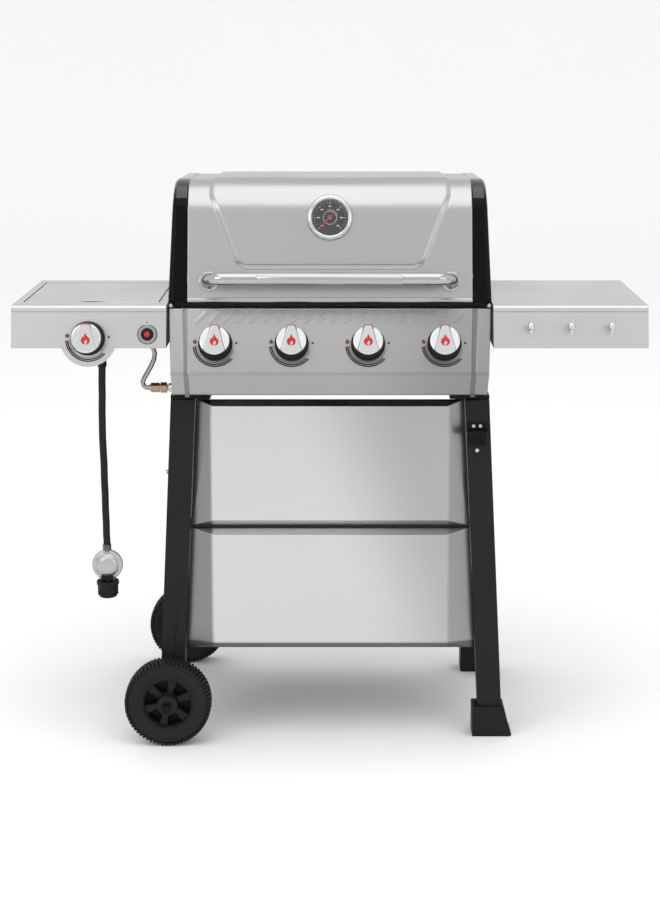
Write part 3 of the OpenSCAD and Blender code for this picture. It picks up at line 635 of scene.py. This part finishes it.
def swept(name, points, radius, sides=24):
    """A round bar along points, whose rings keep square to it."""
    verts, faces = [], []
    up = Vector((0.02, 0.03, 1))
    for i, p in enumerate(points):
        ahead = points[min(i + 1, len(points) - 1)] - points[max(i - 1, 0)]
        t = ahead.normalized()
        u = up.cross(t).normalized()
        v = t.cross(u)
        up = v
        for k in range(sides):
            a = 2 * math.pi * k / sides
            verts.append(p + radius * (math.cos(a) * u + math.sin(a) * v))
    for i in range(len(points) - 1):
        for k in range(sides):
            j = (k + 1) % sides
            faces.append((i * sides + k, i * sides + j, (i + 1) * sides + j, (i + 1) * sides + k))
    faces.append(tuple(range(sides)))
    faces.append(tuple((len(points) - 1) * sides + k for k in range(sides)))
    return smooth_sharp(mesh_object(name, verts, faces), 50)


def make_handle():
    """The chrome ends: each bends back from the bar to a rosette on the lid."""
    back = Vector((0, math.cos(LID_LEAN), -math.sin(LID_LEAN)))
    rosette_at = Vector((0, lid_front(BAR_AT.z - ROSETTE_DROP), BAR_AT.z - ROSETTE_DROP))
    reach = (rosette_at - Vector((0, BAR_AT.y, BAR_AT.z))).length
    for side in (-1, 1):
        word = "right" if side > 0 else "left"
        straight = steps(BAR_HIGH.x - 0.002, HANDLE_HALF - BEND, 4)
        points = [Vector((side * x, BAR_AT.y, BAR_AT.z)) for x in straight]
        for i in range(1, 13):
            a = math.radians(90 * i / 12)
            sideways = Vector((side * (HANDLE_HALF - BEND + BEND * math.sin(a)), BAR_AT.y, BAR_AT.z))
            points.append(sideways + back * BEND * (1 - math.cos(a)))
        points.append(Vector((side * HANDLE_HALF, BAR_AT.y, BAR_AT.z)) + back * reach)
        bar = swept("handle_end_" + word, points, BAR_R * 0.97, 28)
        piece(bar, "handle_chrome", "lid")
        foot = axis_frame(points[-1], -back)
        profile = [(0.0125, 0.012), (0.0135, 0.011), (0.0145, 0.007), (0.0155, 0.0055), (0.0185, 0.005)]
        profile += arc((0.0185, 0.003), 0.002, 90, 0, 5) + [(0.0205, 0.0), (0.012, 0.0)]
        rose = lathe("handle_rosette_" + word, profile, foot, 64)
        piece(rose, "handle_chrome", "lid")
    inner, outer, half = BAR_R * 0.8, BAR_R + 0.0006, 0.0015
    band = [(inner, -half), (outer, -half), (outer, half), (inner, half)]
    for word, x in (("left", BAR_LOW.x), ("right", BAR_HIGH.x)):
        ring = lathe("handle_collar_" + word, band, axis_frame((x, BAR_AT.y, BAR_AT.z), (1, 0, 0)), 48)
        piece(ring, "handle_chrome", "lid")
        soften(ring, 0.0004)
    ends = [Vector((x, BAR_AT.y, BAR_AT.z)) for x in (BAR_LOW.x - 0.01, BAR_HIGH.x + 0.01)]
    core = swept("handle_core", ends, BAR_R * 0.7)
    piece(core, "chrome", "lid")
    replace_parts(core, "handle_bar")


make_lid_skin()
make_lid_cap(-1)
make_lid_cap(1)
make_handle()


# ---- control panel ----

PANEL_LOW, PANEL_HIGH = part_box("control_panel")
PANEL_FOLD_Z = PANEL_LOW.z + 0.046
PANEL_BOTTOM_Y = PANEL_LOW.y + 0.014
PANEL_TOP_Y = PANEL_LOW.y + 0.060
PANEL_HALF_LOW = PANEL_HIGH.x - 0.009
STRIP = (0.887, 0.920)
STRIP_EDGE = 0.004
STRIP_DEPTH = 0.0012
SLOTS = 20
SLOT_FIRST = -0.2635
SLOT_PITCH = 0.0277
SLOT_DOWN = 0.0195
SLOT_HALF = 0.0125
SLOT_R = 0.0040
SLOT_RAISE = 0.0004
TAB_X = 0.292


def rounded_line(corners, radius):
    """A polyline whose inner corners are rounded."""
    points = [Vector(corners[0])]
    for a, b, c in zip(corners, corners[1:], corners[2:]):
        a, b, c = Vector(a), Vector(b), Vector(c)
        p = b + (a - b).normalized() * radius
        q = b + (c - b).normalized() * radius
        for i in range(7):
            t = i / 6
            points.append(p.lerp(b, t).lerp(b.lerp(q, t), t))
    points.append(Vector(corners[-1]))
    return points


def along_line(points, s):
    """The point at a distance along a polyline, and the normal on its left."""
    for a, b in zip(points, points[1:]):
        length = (b - a).length
        if s <= length or b is points[-1]:
            t = (b - a).normalized()
            return a + t * s, Vector((-t.y, t.x))
        s -= length


def line_length(points):
    return sum((b - a).length for a, b in zip(points, points[1:]))


PANEL_LINE = rounded_line(
    [
        (PANEL_BOTTOM_Y + 0.012, PANEL_LOW.z), (PANEL_BOTTOM_Y, PANEL_LOW.z), (PANEL_LOW.y, PANEL_FOLD_Z),
        (PANEL_TOP_Y, PANEL_HIGH.z), (PANEL_HIGH.y, PANEL_HIGH.z),
    ],
    0.004,
)
PANEL_LENGTH = line_length(PANEL_LINE)
PANEL_TOP_S = PANEL_LENGTH - (PANEL_HIGH.y - PANEL_TOP_Y)


def slot_relief(x, down):
    """A row of slanted capsules pressed out near the panel's top edge."""
    i = round((x - SLOT_FIRST) / SLOT_PITCH)
    best = 1.0
    for k in (i - 1, i, i + 1):
        if 0 <= k < SLOTS:
            dx, dy = x - SLOT_FIRST - k * SLOT_PITCH, SLOT_DOWN - down
            along = max(-SLOT_HALF, min(SLOT_HALF, (dx + dy) * math.sqrt(0.5)))
            best = min(best, math.hypot(dx - along * math.sqrt(0.5), dy - along * math.sqrt(0.5)))
    return SLOT_RAISE * (1 - ramp(SLOT_R - 0.0009, SLOT_R + 0.0005, best))


def make_control_panel():
    low, high = PANEL_TOP_S - 0.042, PANEL_TOP_S - 0.002
    rows = steps(0.0, low - 0.001, 44) + steps(low, high, 36) + steps(high + 0.0008, PANEL_LENGTH, 18)
    frames = {s: along_line(PANEL_LINE, s) for s in rows}

    def at(u, s):
        p, n = frames[s]
        half = lerp(PANEL_HALF_LOW, PANEL_HIGH.x, (p.y - PANEL_LOW.z) / (PANEL_HIGH.z - PANEL_LOW.z))
        x = u * half
        up = slot_relief(x, PANEL_TOP_S - s) if s > low else 0.0
        groove = ramp(STRIP[0], STRIP[0] + STRIP_EDGE, abs(u)) - ramp(STRIP[1] - STRIP_EDGE, STRIP[1], abs(u))
        up -= STRIP_DEPTH * groove * ramp(0.0, 0.004, PANEL_TOP_S - s)
        q = p + n * up
        return Vector((x, q.x, q.y))

    sheet = grid("control_fascia", steps(-1.0, 1.0, 430), rows, at)
    thicken(sheet, 0.0012)
    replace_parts(piece(sheet, "control_steel", "cart"), "control_panel")
    for side in (-1, 1):
        word = "right" if side > 0 else "left"
        outline = [tuple(p) for p in PANEL_LINE] + [(PANEL_HIGH.y, PANEL_LOW.z + 0.002)]
        outline = [(y + 0.0015, z - 0.001 * (z > 0.9)) for y, z in outline]
        cheek_x = side * (PANEL_HALF_LOW - 0.008)
        flat = Matrix(((0, 0, side, cheek_x), (1, 0, 0, 0), (0, 1, 0, 0), (0, 0, 0, 1)))
        cheek = prism("control_cheek_" + word, outline, 0.0, 0.002, flat)
        piece(cheek, "black_coat", "cart")
        tab_at = axis_frame((side * TAB_X, PANEL_BOTTOM_Y + 0.004, PANEL_LOW.z - 0.004), (0, -1, 0))
        outline = [(-0.0045, 0), (0.0045, 0), (0.0045, 0.012), (-0.0045, 0.012)]
        tab = prism("control_tab_" + word, outline, -0.0008, 0.0008, tab_at)
        piece(soften(tab, 0.0006), "control_steel", "cart")


make_control_panel()


# ---- knobs ----

KNOB_R = 0.0300
FACE_H = 0.0300
GRIP_TOP = 0.0440
FACE_EDGE = 1.012
FLAME_SIZE = 0.0235
MARK_START, MARK_ANGLE = math.radians(73), math.radians(34)
PRINT_H = 0.0003
PRINT_DOWN = -0.0015

FLAME = [
    (0.00, -0.50), (0.20, -0.47), (0.36, -0.32), (0.40, -0.10), (0.32, 0.12), (0.235, 0.09), (0.20, 0.18),
    (0.08, 0.32), (0.03, 0.50), (-0.09, 0.34), (-0.13, 0.12), (-0.23, 0.20), (-0.35, 0.00), (-0.39, -0.22),
    (-0.24, -0.43),
]
FLAME_CORE = [
    (0.02, -0.46), (0.13, -0.38), (0.16, -0.24), (0.06, -0.06), (-0.03, -0.20), (-0.11, -0.30),
    (-0.08, -0.40),
]


def scaled(outline, size, x=0.0, y=0.0):
    return [(x + size * px, y + size * py) for px, py in outline]


def grip_height(x, y):
    """Height of a knob's face: a wedge that is narrow and tall at the top and wide and low at the foot."""
    t = (y + KNOB_R) / (2 * KNOB_R)
    half = lerp(0.0270, 0.0098, t ** 0.8)
    tall = lerp(0.0015, GRIP_TOP - FACE_H - 0.0030, t ** 0.9)
    edge = math.hypot(x, y) / KNOB_R
    crown = -0.0012 * ramp(0.90, 1.0, edge)
    return FACE_H + 0.0026 + tall * ramp(0.0, 0.0035, half - abs(x)) + crown


def lifted(height):
    return height if callable(height) else lambda x, y: height


def ribbon(name, matrix, inner, outer, start, end, height, taper=0.0, count=60):
    """A thin printed arc; taper is how much of its width it has lost at its end."""
    verts, lift = [], lifted(height)
    for i in range(count + 1):
        a = math.radians(lerp(start, end, i / count))
        thin = 1 - taper * (i / count)
        for r in (lerp((inner + outer) / 2, inner, thin), lerp((inner + outer) / 2, outer, thin)):
            x, y = r * math.cos(a), r * math.sin(a)
            verts.append(matrix @ Vector((x, y, lift(x, y))))
    faces = [(2 * i, 2 * i + 1, 2 * i + 3, 2 * i + 2) for i in range(count)]
    return thicken(mesh_object(name, verts, faces), 0.00015, 1.0, even=False)


def decal(name, matrix, outline, height):
    """A small flat printed mark; height is a number or a function of x and y."""
    lift = lifted(height)
    cx = sum(x for x, _ in outline) / len(outline)
    cy = sum(y for _, y in outline) / len(outline)
    loops = [0.0, 0.35, 0.7, 1.0]
    verts = [matrix @ Vector((cx, cy, lift(cx, cy)))]
    for f in loops[1:]:
        for x, y in outline:
            px, py = lerp(cx, x, f), lerp(cy, y, f)
            verts.append(matrix @ Vector((px, py, lift(px, py))))
    n = len(outline)
    faces = [(0, 1 + i, 1 + (i + 1) % n) for i in range(n)]
    for k in range(len(loops) - 2):
        a, b = 1 + k * n, 1 + (k + 1) * n
        faces += [(a + i, b + i, b + (i + 1) % n, a + (i + 1) % n) for i in range(n)]
    return thicken(mesh_object(name, verts, faces), 0.00015, 1.0, even=False)


def make_knob(word, base=PRINT_H):
    """A knob's skirt, face, red mark and flame, and the heat arcs printed round it on the panel."""
    joint = JOINTS["knob_" + word + "_turn"]
    body = "knob_" + word
    at = axis_frame(joint["pos_m"], joint["axis"])
    skirt = [(0.0045, 0.0072), (0.0295, 0.0072), (0.0304, 0.0080), (0.0304, 0.0124), (0.0336, 0.0133)]
    skirt += [(0.0340, 0.0144), (0.0322, 0.0178), (0.0312, 0.0240), (0.0306, FACE_H - 0.0004)]
    skirt += [(0.0290, FACE_H), (0.0, FACE_H)]
    shell = lathe("knob_skirt_" + word, skirt, at, 96)
    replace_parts(piece(shell, "black_plastic", body), "knob_" + word)

    turns, rings = 120, 40
    verts, faces = [at @ Vector((0, 0, grip_height(0, 0)))], []
    for i in range(1, rings + 1):
        for k in range(turns):
            a = 2 * math.pi * k / turns
            x, y = KNOB_R * i / rings * math.cos(a), KNOB_R * i / rings * math.sin(a)
            verts.append(at @ Vector((x, y, grip_height(x, y))))
    for k in range(turns):
        verts.append(at @ polar(KNOB_R * FACE_EDGE, 2 * math.pi * k / turns, FACE_H - 0.0002))
    faces += [(0, 1 + k, 1 + (k + 1) % turns) for k in range(turns)]
    for i in range(rings):
        a, b = 1 + i * turns, 1 + (i + 1) * turns
        faces += [(a + k, b + k, b + (k + 1) % turns, a + (k + 1) % turns) for k in range(turns)]
    face = mesh_object("knob_face_" + word, verts, faces)
    piece(smooth_sharp(face, 50), "knob_silver", body)

    mark_h = grip_height(0, KNOB_R * 0.94)
    profile = [(KNOB_R * 1.006, mark_h - 0.0042), (KNOB_R * FACE_EDGE, mark_h - 0.0016)]
    profile += [(KNOB_R * 0.985, mark_h + 0.0006), (KNOB_R * 0.95, mark_h + 0.0007)]
    mark = lathe("knob_mark_" + word, profile, at @ Matrix.Rotation(MARK_START, 4, "Z"), 24, MARK_ANGLE)
    piece(thicken(mark, 0.0004, 0.0), "button_red", body)
    flame, core = (scaled(outline, FLAME_SIZE, 0, -0.001) for outline in (FLAME, FLAME_CORE))
    flame = decal("knob_flame_" + word, at, flame, lambda x, y: grip_height(x, y) + 0.0002)
    piece(flame, "button_red", body)
    core = decal("knob_flame_core_" + word, at, core, lambda x, y: grip_height(x, y) + 0.0005)
    piece(core, "knob_silver", body)

    print_at = at @ Matrix.Translation((0, PRINT_DOWN, 0))
    arcs = (
        ("outer", 0.0438, 0.0464, 184, 320, 0.0, "ink_black"),
        ("middle", 0.0398, 0.0430, 184, 318, 0.2, "ink_black"),
        ("inner", 0.0372, 0.0384, 180, 345, 0.2, "ink_red"),
    )
    for label, inner, outer, start, end, taper, material in arcs:
        heat = ribbon(f"heat_arc_{label}_{word}", print_at, inner, outer, start, end, base, taper)
        piece(heat, material, "cart")
    high = decal("high_mark_" + word, at, scaled(FLAME, 0.0110, -0.0422, 0.0065), base)
    piece(high, "ink_red", "cart")
    low = decal("low_mark_" + word, at, scaled(FLAME, 0.0060, 0.0425, 0.0035), base)
    piece(low, "ink_black", "cart")


SHELF_EDGE = -0.0203
PLATE_H = -0.0018
for word in ("1", "2", "3", "4"):
    make_knob(word)
make_knob("side", lambda x, y: PRINT_H if y > SHELF_EDGE else PLATE_H)


# ---- wheels ----

WHEEL_R = 0.091
SHOULDER_H = 0.019
TREADS = 66
SPOKES = 6


def tyre_profile():
    """Half width and radius of a tyre, from its inner lip over the tread to the other lip."""
    side = [(0.0130, 0.0515), (0.0185, 0.0520), (0.0205, 0.0545), (0.0195, 0.0575), (0.0200, 0.0595)]
    side += [(0.0225, 0.0640), (0.0236, 0.0700), (0.0238, 0.0760), (0.0232, 0.0810), (0.0218, 0.0842)]
    side += [(0.0190, 0.0862)]
    return [(r, -h) for h, r in side] + [(0.0872, 0.0)] + [(r, h) for h, r in reversed(side)]


def make_wheel(word):
    """One moulded wheel: its tyre with tread blocks, its rim, web, six spokes and hub."""
    body = "wheel_" + word
    outward = Vector((0, -1 if word == "front" else 1, 0))
    centre = (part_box(body)[0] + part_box(body)[1]) / 2
    at = axis_frame(centre, outward)

    def moulded(obj):
        return piece(obj, "wheel_plastic", body)

    tyre = moulded(smooth_sharp(lathe("tyre_" + word, tyre_profile(), at, 132), 40))

    verts, faces = [], []
    rows = ((-0.0165, 0.0075, 0.0), (0.0, 0.0075, 0.5), (0.0165, 0.0075, 0.0))
    for i in range(TREADS):
        for mid, half, shift in rows:
            a = 2 * math.pi * (i + shift) / TREADS
            wide = math.pi / TREADS * 0.58
            low = 0.0835 if mid else 0.0865
            drop = 0.0016 if mid else 0.0
            foot, top = (low, wide * 1.25, half * 1.1), (WHEEL_R, wide * 0.7, half * 0.75)
            for r, w, h in (foot, (0.0902, wide, half), top):
                for sa, sh in ((-1, -1), (1, -1), (1, 1), (-1, 1)):
                    z = mid + sh * h
                    edge = drop * (abs(z) > SHOULDER_H) * (r > low)
                    verts.append(at @ polar(r - edge, a + sa * w, z))
            first = len(verts) - 12
            for n in (first, first + 4):
                faces += [(n + j, n + (j + 1) % 4, n + 4 + (j + 1) % 4, n + 4 + j) for j in range(4)]
            faces.append(tuple(range(first + 8, first + 12)))
    moulded(mesh_object("tread_" + word, verts, faces, smooth=False))

    rim = [(0.0520, -0.0150), (0.0498, -0.0150), (0.0490, -0.0120)]
    rim += [(0.0485, 0.0120), (0.0498, 0.0165), (0.0520, 0.0165)]
    moulded(smooth_sharp(lathe("rim_" + word, rim, at, 120), 40))
    web = [(0.0210, -0.0120), (0.0492, -0.0120), (0.0492, -0.0140), (0.0210, -0.0140)]
    moulded(smooth_sharp(lathe("web_" + word, web, at, 96), 40))
    hub = [(0.0054, 0.0335), (0.0120, 0.0335), (0.0125, 0.0325), (0.0170, 0.0320), (0.0205, 0.0305)]
    hub += [(0.0215, 0.0280), (0.0220, 0.0120), (0.0220, -0.0280), (0.0200, -0.0330), (0.0054, -0.0338)]
    moulded(smooth_sharp(lathe("hub_" + word, hub, at, 72), 40))
    edge = [(0.0200, -0.0058), (0.0330, -0.0068), (0.0500, -0.0098)]
    outline = edge + [(x, -y) for x, y in reversed(edge)]
    for k in range(SPOKES):
        turn = at @ Matrix.Rotation(2 * math.pi * (k + 0.3) / SPOKES, 4, "Z")
        moulded(soften(prism(f"spoke_{word}_{k}", outline, -0.0115, 0.0115, turn), 0.0015))
    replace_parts(tyre, body)


for word in ("front", "rear"):
    make_wheel(word)


# ---- thermometer ----

DIAL_R = 0.0365
DIAL_H = 0.0053
FIGURE_R = 0.0236
TICKS = 30


def make_gauge():
    """The thermometer: its bezel, stud and pin, the dial with its printed marks, and the lens."""
    joint = JOINTS["needle_pivot"]
    outward = -Vector(joint["axis"])
    centre = Vector(joint["pos_m"])
    skin = Vector((0, lid_front(centre.z), centre.z))
    centre -= outward * (centre - skin).dot(outward)
    at = axis_frame(centre, outward)
    case = [(0.0, 0.0010), (0.0460, 0.0010), (0.0478, 0.0016), (0.0480, 0.0040), (0.0474, 0.0095)]
    case += [(0.0455, 0.0130), (0.0430, 0.0152), (0.0405, 0.0158), (0.0385, 0.0150), (0.0376, 0.0135)]
    case += [(0.0372, 0.0105), (0.0374, 0.0050), (0.0, 0.0046)]
    bezel = piece(smooth_sharp(lathe("gauge_bezel", case, at), 60), "chrome", "lid")
    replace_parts(bezel, "gauge_case")
    stud = lathe("gauge_stud", [(0.0040, -0.0012), (0.0040, -0.0580), (0.0, -0.0590)], at, 32)
    piece(stud, "chrome", "lid")
    pin = lathe("gauge_pin", [(0.0020, 0.0045), (0.0020, 0.0110), (0.0, 0.0112)], at, 24)
    piece(pin, "brass", "lid")
    dial = lathe("gauge_dial", [(0.0021, 0.0052), (DIAL_R + 0.0006, 0.0052), (DIAL_R + 0.0006, 0.0047)], at)
    piece(dial, "dial_face", "lid")
    ring = lathe("gauge_rehaut", [(0.0368, 0.0052), (0.0366, 0.0072), (0.0350, 0.0056), (0.0348, 0.0052)], at)
    piece(ring, "chrome", "lid")
    for i in range(TICKS + 1):
        a = math.radians(225 - 270 * i / TICKS)
        major = i % 5 == 0
        inner, wide = (0.0278, 0.0011) if major else (0.0308, 0.0005)
        turn = at @ Matrix.Rotation(a, 4, "Z")
        mark = [(inner, -wide / 2), (0.0334, -wide / 2), (0.0334, wide / 2), (inner, wide / 2)]
        piece(decal(f"dial_tick_{i}", turn, mark, DIAL_H), "ink_white", "lid")
        if major:
            spot = at @ Matrix.Translation(polar(FIGURE_R, a))
            block = [(-0.0030, -0.0013), (0.0030, -0.0013), (0.0030, 0.0013), (-0.0030, 0.0013)]
            piece(decal(f"dial_figure_{i}", spot, block, DIAL_H), "ink_white", "lid")
    piece(ribbon("dial_ring", at, 0.0130, 0.0141, 0, 360, DIAL_H, count=80), "ink_white", "lid")
    piece(ribbon("dial_zone_warm", at, 0.0150, 0.0172, 20, 110, DIAL_H), "ink_orange", "lid")
    piece(ribbon("dial_zone_hot", at, 0.0150, 0.0172, -45, 18, DIAL_H), "ink_red", "lid")
    lens = lathe("gauge_lens", [(0.0, 0.0128), (0.0374, 0.0122), (0.0375, 0.0112), (0.0, 0.0118)], at)
    piece(lens, "lens_glass", "lid")


make_gauge()


# ---- hose and regulator ----

HOSE_POINTS = [
    (-0.469, -0.231, 0.822), (-0.469, -0.231, 0.800), (-0.470, -0.231, 0.770), (-0.470, -0.231, 0.740),
    (-0.471, -0.231, 0.710), (-0.471, -0.231, 0.680), (-0.471, -0.231, 0.650), (-0.470, -0.231, 0.620),
    (-0.469, -0.231, 0.590), (-0.469, -0.231, 0.560), (-0.468, -0.231, 0.530), (-0.468, -0.231, 0.500),
    (-0.467, -0.231, 0.470), (-0.467, -0.231, 0.445), (-0.466, -0.231, 0.422),
]
HOSE_R = 0.0075
REGULATOR_Z = 0.380
RIVETS = 6
NUT_RIBS = 18


def make_hose():
    data = bpy.data.curves.new("gas_hose", "CURVE")
    data.dimensions = "3D"
    data.bevel_depth = HOSE_R
    data.bevel_resolution = 8
    data.use_fill_caps = True
    spline = data.splines.new("POLY")
    spline.points.add(len(HOSE_POINTS) - 1)
    for point, co in zip(spline.points, HOSE_POINTS):
        point.co = (*co, 1.0)
    hose = link(bpy.data.objects.new("gas_hose", data))
    piece(hose, "hose_rubber", "cart")
    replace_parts(hose, "hose")
    length = sum(math.dist(a, b) for a, b in zip(HOSE_POINTS, HOSE_POINTS[1:]))
    return hose, length


def collar(name, low, high, radius, material, at_point):
    """A short crimped sleeve round the hose's line."""
    at = axis_frame(Vector((at_point[0], at_point[1], low)), (0, 0, 1), Vector((0, 1, 0)))
    h = high - low
    ribs, bead = 4, 0.0008
    profile = [(HOSE_R - 0.0002, 0.0), (radius - bead, 0.0), (radius, bead)]
    for i in range(ribs):
        a, b = lerp(bead * 2, h - bead * 2, i / ribs), lerp(bead * 2, h - bead * 2, (i + 1) / ribs)
        profile += [(radius, a), (radius, b - bead), (radius - bead, b - bead / 2)]
    profile += [(radius, h - bead), (radius - bead, h), (HOSE_R - 0.0002, h)]
    return piece(smooth_sharp(lathe(name, profile, at, 48), 50), material, "cart")


def make_regulator():
    """The gas regulator: a riveted diaphragm disc between the hose's ferrule and the bottle's spigot."""
    low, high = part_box("regulator")
    x, y = (low.x + high.x) / 2, (low.y + high.y) / 2
    radius = (high.x - low.x) / 2
    at = axis_frame((x, y, REGULATOR_Z), (0, -1, 0))
    cover = [(0.0, 0.0172), (0.0080, 0.0169), (0.0140, 0.0158), (0.0190, 0.0135), (0.0222, 0.0105)]
    cover += [(0.0238, 0.0082), (0.0252, 0.0071), (0.0290, 0.0066), (radius - 0.0010, 0.0058)]
    cover += [(radius, 0.0040), (radius, -0.0045), (radius - 0.0008, -0.0060), (0.0290, -0.0080)]
    cover += [(0.0250, -0.0110), (0.0180, -0.0150), (0.0, -0.0152)]
    disc = piece(smooth_sharp(lathe("regulator_cover", cover, at), 40), "zinc_cast", "cart")
    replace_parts(disc, "regulator")
    parts = [disc]
    inner, outer = radius - 0.001, radius + 0.0001
    seam = lathe("regulator_seam", [(inner, 0.0012), (outer, 0.0010), (outer, -0.0014), (inner, -0.0016)], at)
    parts.append(piece(seam, "bolt_zinc", "cart"))
    rivet = [(0.0026, 0.0092), (0.0024, 0.0114), (0.0012, 0.0120), (0.0, 0.0121)]
    rivets = []
    for i in range(RIVETS):
        foot = at @ Matrix.Translation(polar(0.0276, 2 * math.pi * (i + 0.5) / RIVETS, -0.0030))
        rivets.append(lathe(f"rivet_{i}", rivet, foot, 20))
    parts.append(piece(smooth_sharp(joined("regulator_rivets", rivets)), "bolt_zinc", "cart"))
    up = axis_frame(Vector((x, y, 0)), (0, 0, 1), Vector((0, 1, 0)))
    neck = lathe("regulator_inlet", [(0.0, 0.404), (0.0085, 0.404), (0.0085, 0.4218), (0.0, 0.4218)], up, 6)
    parts.append(piece(soften(neck, 0.0006), "dark_zinc", "cart"))
    parts.append(collar("hose_ferrule", 0.4125, 0.4245, 0.0090, "dark_zinc", (x - 0.0004, y)))
    outline = [(-0.0125, -0.0100), (0.0125, -0.0100), (0.0140, 0.0)]
    outline += [(0.0125, 0.0100), (-0.0125, 0.0100), (-0.0140, 0.0)]
    yoke = prism("regulator_yoke", outline, 0.3472, 0.3560, up)
    parts.append(piece(soften(yoke, 0.0012), "black_plastic", "cart"))
    ear = [(0.0095, -0.0070), (0.0150, -0.0060), (0.0150, 0.0060), (0.0095, 0.0070)]
    for side in (-1, 1):
        outline = [(side * u, v) for u, v in ear]
        lug = prism("regulator_lug_" + ("left" if side < 0 else "right"), outline, 0.3375, 0.3530, up)
        parts.append(piece(soften(lug, 0.0010), "dark_zinc", "cart"))
    spigot = [(0.0, 0.3142), (0.0060, 0.3142), (0.0070, 0.3160), (0.0070, 0.3475), (0.0, 0.3475)]
    parts.append(piece(smooth_sharp(lathe("regulator_spigot", spigot, up, 32)), "brass", "cart"))
    return parts


def make_nut():
    """The black hand nut that holds the regulator on a gas bottle: a ribbed grip under a round yoke."""
    low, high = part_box("regulator_nut")
    x, y = (low.x + high.x) / 2, (low.y + high.y) / 2
    up = axis_frame(Vector((x, y, 0)), (0, 0, 1), Vector((0, 1, 0)))
    base, top = low.z, high.z
    core = [(0.0073, base), (0.0155, base), (0.0182, base + 0.0015), (0.0194, base + 0.0050)]
    core += [(0.0204, base + 0.0150), (0.0212, base + 0.0245), (0.0233, base + 0.0275)]
    core += [(0.0235, top - 0.0015), (0.0225, top), (0.0205, top), (0.0195, top - 0.0020)]
    core += [(0.0190, top - 0.0115), (0.0073, top - 0.0120)]
    nut = smooth_sharp(lathe("nut_core", core, up, 72), 40)
    piece(nut, "black_plastic", "regulator_nut")
    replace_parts(nut, "regulator_nut")
    outline = [(0.0192, -0.0013), (0.0214, -0.0009), (0.0214, 0.0009), (0.0192, 0.0013)]
    ribs = []
    for i in range(NUT_RIBS):
        turn = up @ Matrix.Rotation(2 * math.pi * i / NUT_RIBS, 4, "Z")
        ribs.append(prism(f"nut_rib_{i}", outline, base + 0.0050, base + 0.0250, turn))
    grip = soften(joined("nut_ribs", ribs), 0.0005)
    return [nut, piece(grip, "black_plastic", "regulator_nut")]


gas_hose, hose_length = make_hose()
regulator_parts = make_regulator() + make_nut()
collar("hose_top_ferrule", 0.8000, 0.8215, 0.0092, "black_plastic", HOSE_POINTS[0])


# ---- small parts ----


BUTTON_HALF = 0.009
BUTTON_PROUD = 0.008


def make_igniter():
    """The ignition button with its red mark, and the washer, ring and spark printed round it."""
    low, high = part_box("igniter_button")
    normal = -Vector(JOINTS["igniter_push"]["axis"])
    face = (low + high) / 2 + normal * BUTTON_HALF
    at = axis_frame(face, normal)
    on_panel = axis_frame(face - normal * BUTTON_PROUD, normal)
    button = [(0.0, 0.0), (0.0070, 0.0), (0.0082, -0.0008), (0.0100, -0.0002), (0.0112, -0.0006)]
    button += [(0.0120, -0.0020), (0.0120, -0.0178), (0.0, -0.0179)]
    cap = piece(smooth_sharp(lathe("igniter_cap", button, at, 64), 50), "black_plastic", "igniter")
    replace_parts(cap, "igniter_button")
    mark = lathe("igniter_mark", [(0.0, 0.0006), (0.0052, 0.0004), (0.0058, -0.0002)], at, 40)
    piece(mark, "button_red", "igniter")
    bolt = [(0.0006, 0.0036), (-0.0014, -0.0002), (-0.0001, 0.0002)]
    bolt += [(-0.0007, -0.0036), (0.0015, 0.0005), (0.0002, 0.0003)]
    bolt = decal("spark_mark", on_panel, scaled(bolt, 1.0, 0.0, 0.0245), PRINT_H)
    piece(bolt, "ink_black", "cart")
    washer = [(0.0130, 0.0026), (0.0130, 0.0034), (0.0184, 0.0034), (0.0188, 0.0026)]
    washer = lathe("igniter_washer", washer, on_panel, 64)
    piece(smooth_sharp(washer), "control_steel", "cart")
    ring = ribbon("igniter_ring", on_panel, 0.0196, 0.0206, 105, 435, PRINT_H)
    piece(ring, "ink_black", "cart")


make_igniter()


# ---- floor and light ----


FLOOR_SIZE = 20.0
WALL_Y = 8.0
WALL_BEND = 1.6
WALL_TOP = 12.0


def make_floor():
    """A pale floor that bends up into a wall far behind the grill."""
    profile = [(-FLOOR_SIZE, 0.0), (WALL_Y, 0.0)]
    for i in range(1, 13):
        a = math.radians(90 * i / 12)
        profile.append((WALL_Y + WALL_BEND * math.sin(a), WALL_BEND * (1 - math.cos(a))))
    profile.append((WALL_Y + WALL_BEND, WALL_TOP))
    floor = grid("floor", [-FLOOR_SIZE, FLOOR_SIZE], profile, lambda x, p: (x, p[0], p[1]))
    s = Shader("floor_paint", (0.93, 0.93, 0.93), 0.9)
    s.tint(s.noise(s.coords, 0.6), (0.925, 0.925, 0.925), (0.935, 0.935, 0.935))
    paint(floor, "floor_paint")


def area_light(name, at, target, size, power):
    data = bpy.data.lights.new(name, "AREA")
    data.energy = power
    data.size = size
    light = bpy.data.objects.new(name, data)
    light.location = at
    light.rotation_euler = (Vector(target) - Vector(at)).to_track_quat("-Z", "Y").to_euler()
    link(light)


def make_light():
    world = bpy.data.worlds.new("studio")
    world.use_nodes = True
    background = world.node_tree.nodes["Background"]
    background.inputs["Color"].default_value = (1.0, 1.0, 1.0, 1)
    background.inputs["Strength"].default_value = 1.0
    scene.world = world
    area_light("key", (-2.8, -3.0, 2.5), (0, 0, 0.95), 1.6, 18)
    area_light("fill", (3.2, -3.0, 2.0), (0, 0, 0.7), 2.2, 12)
    area_light("top", (0.0, -1.0, 3.8), (0, -0.2, 0.6), 3.8, 50)


make_floor()
make_light()
scene.view_settings.view_transform = "Standard"
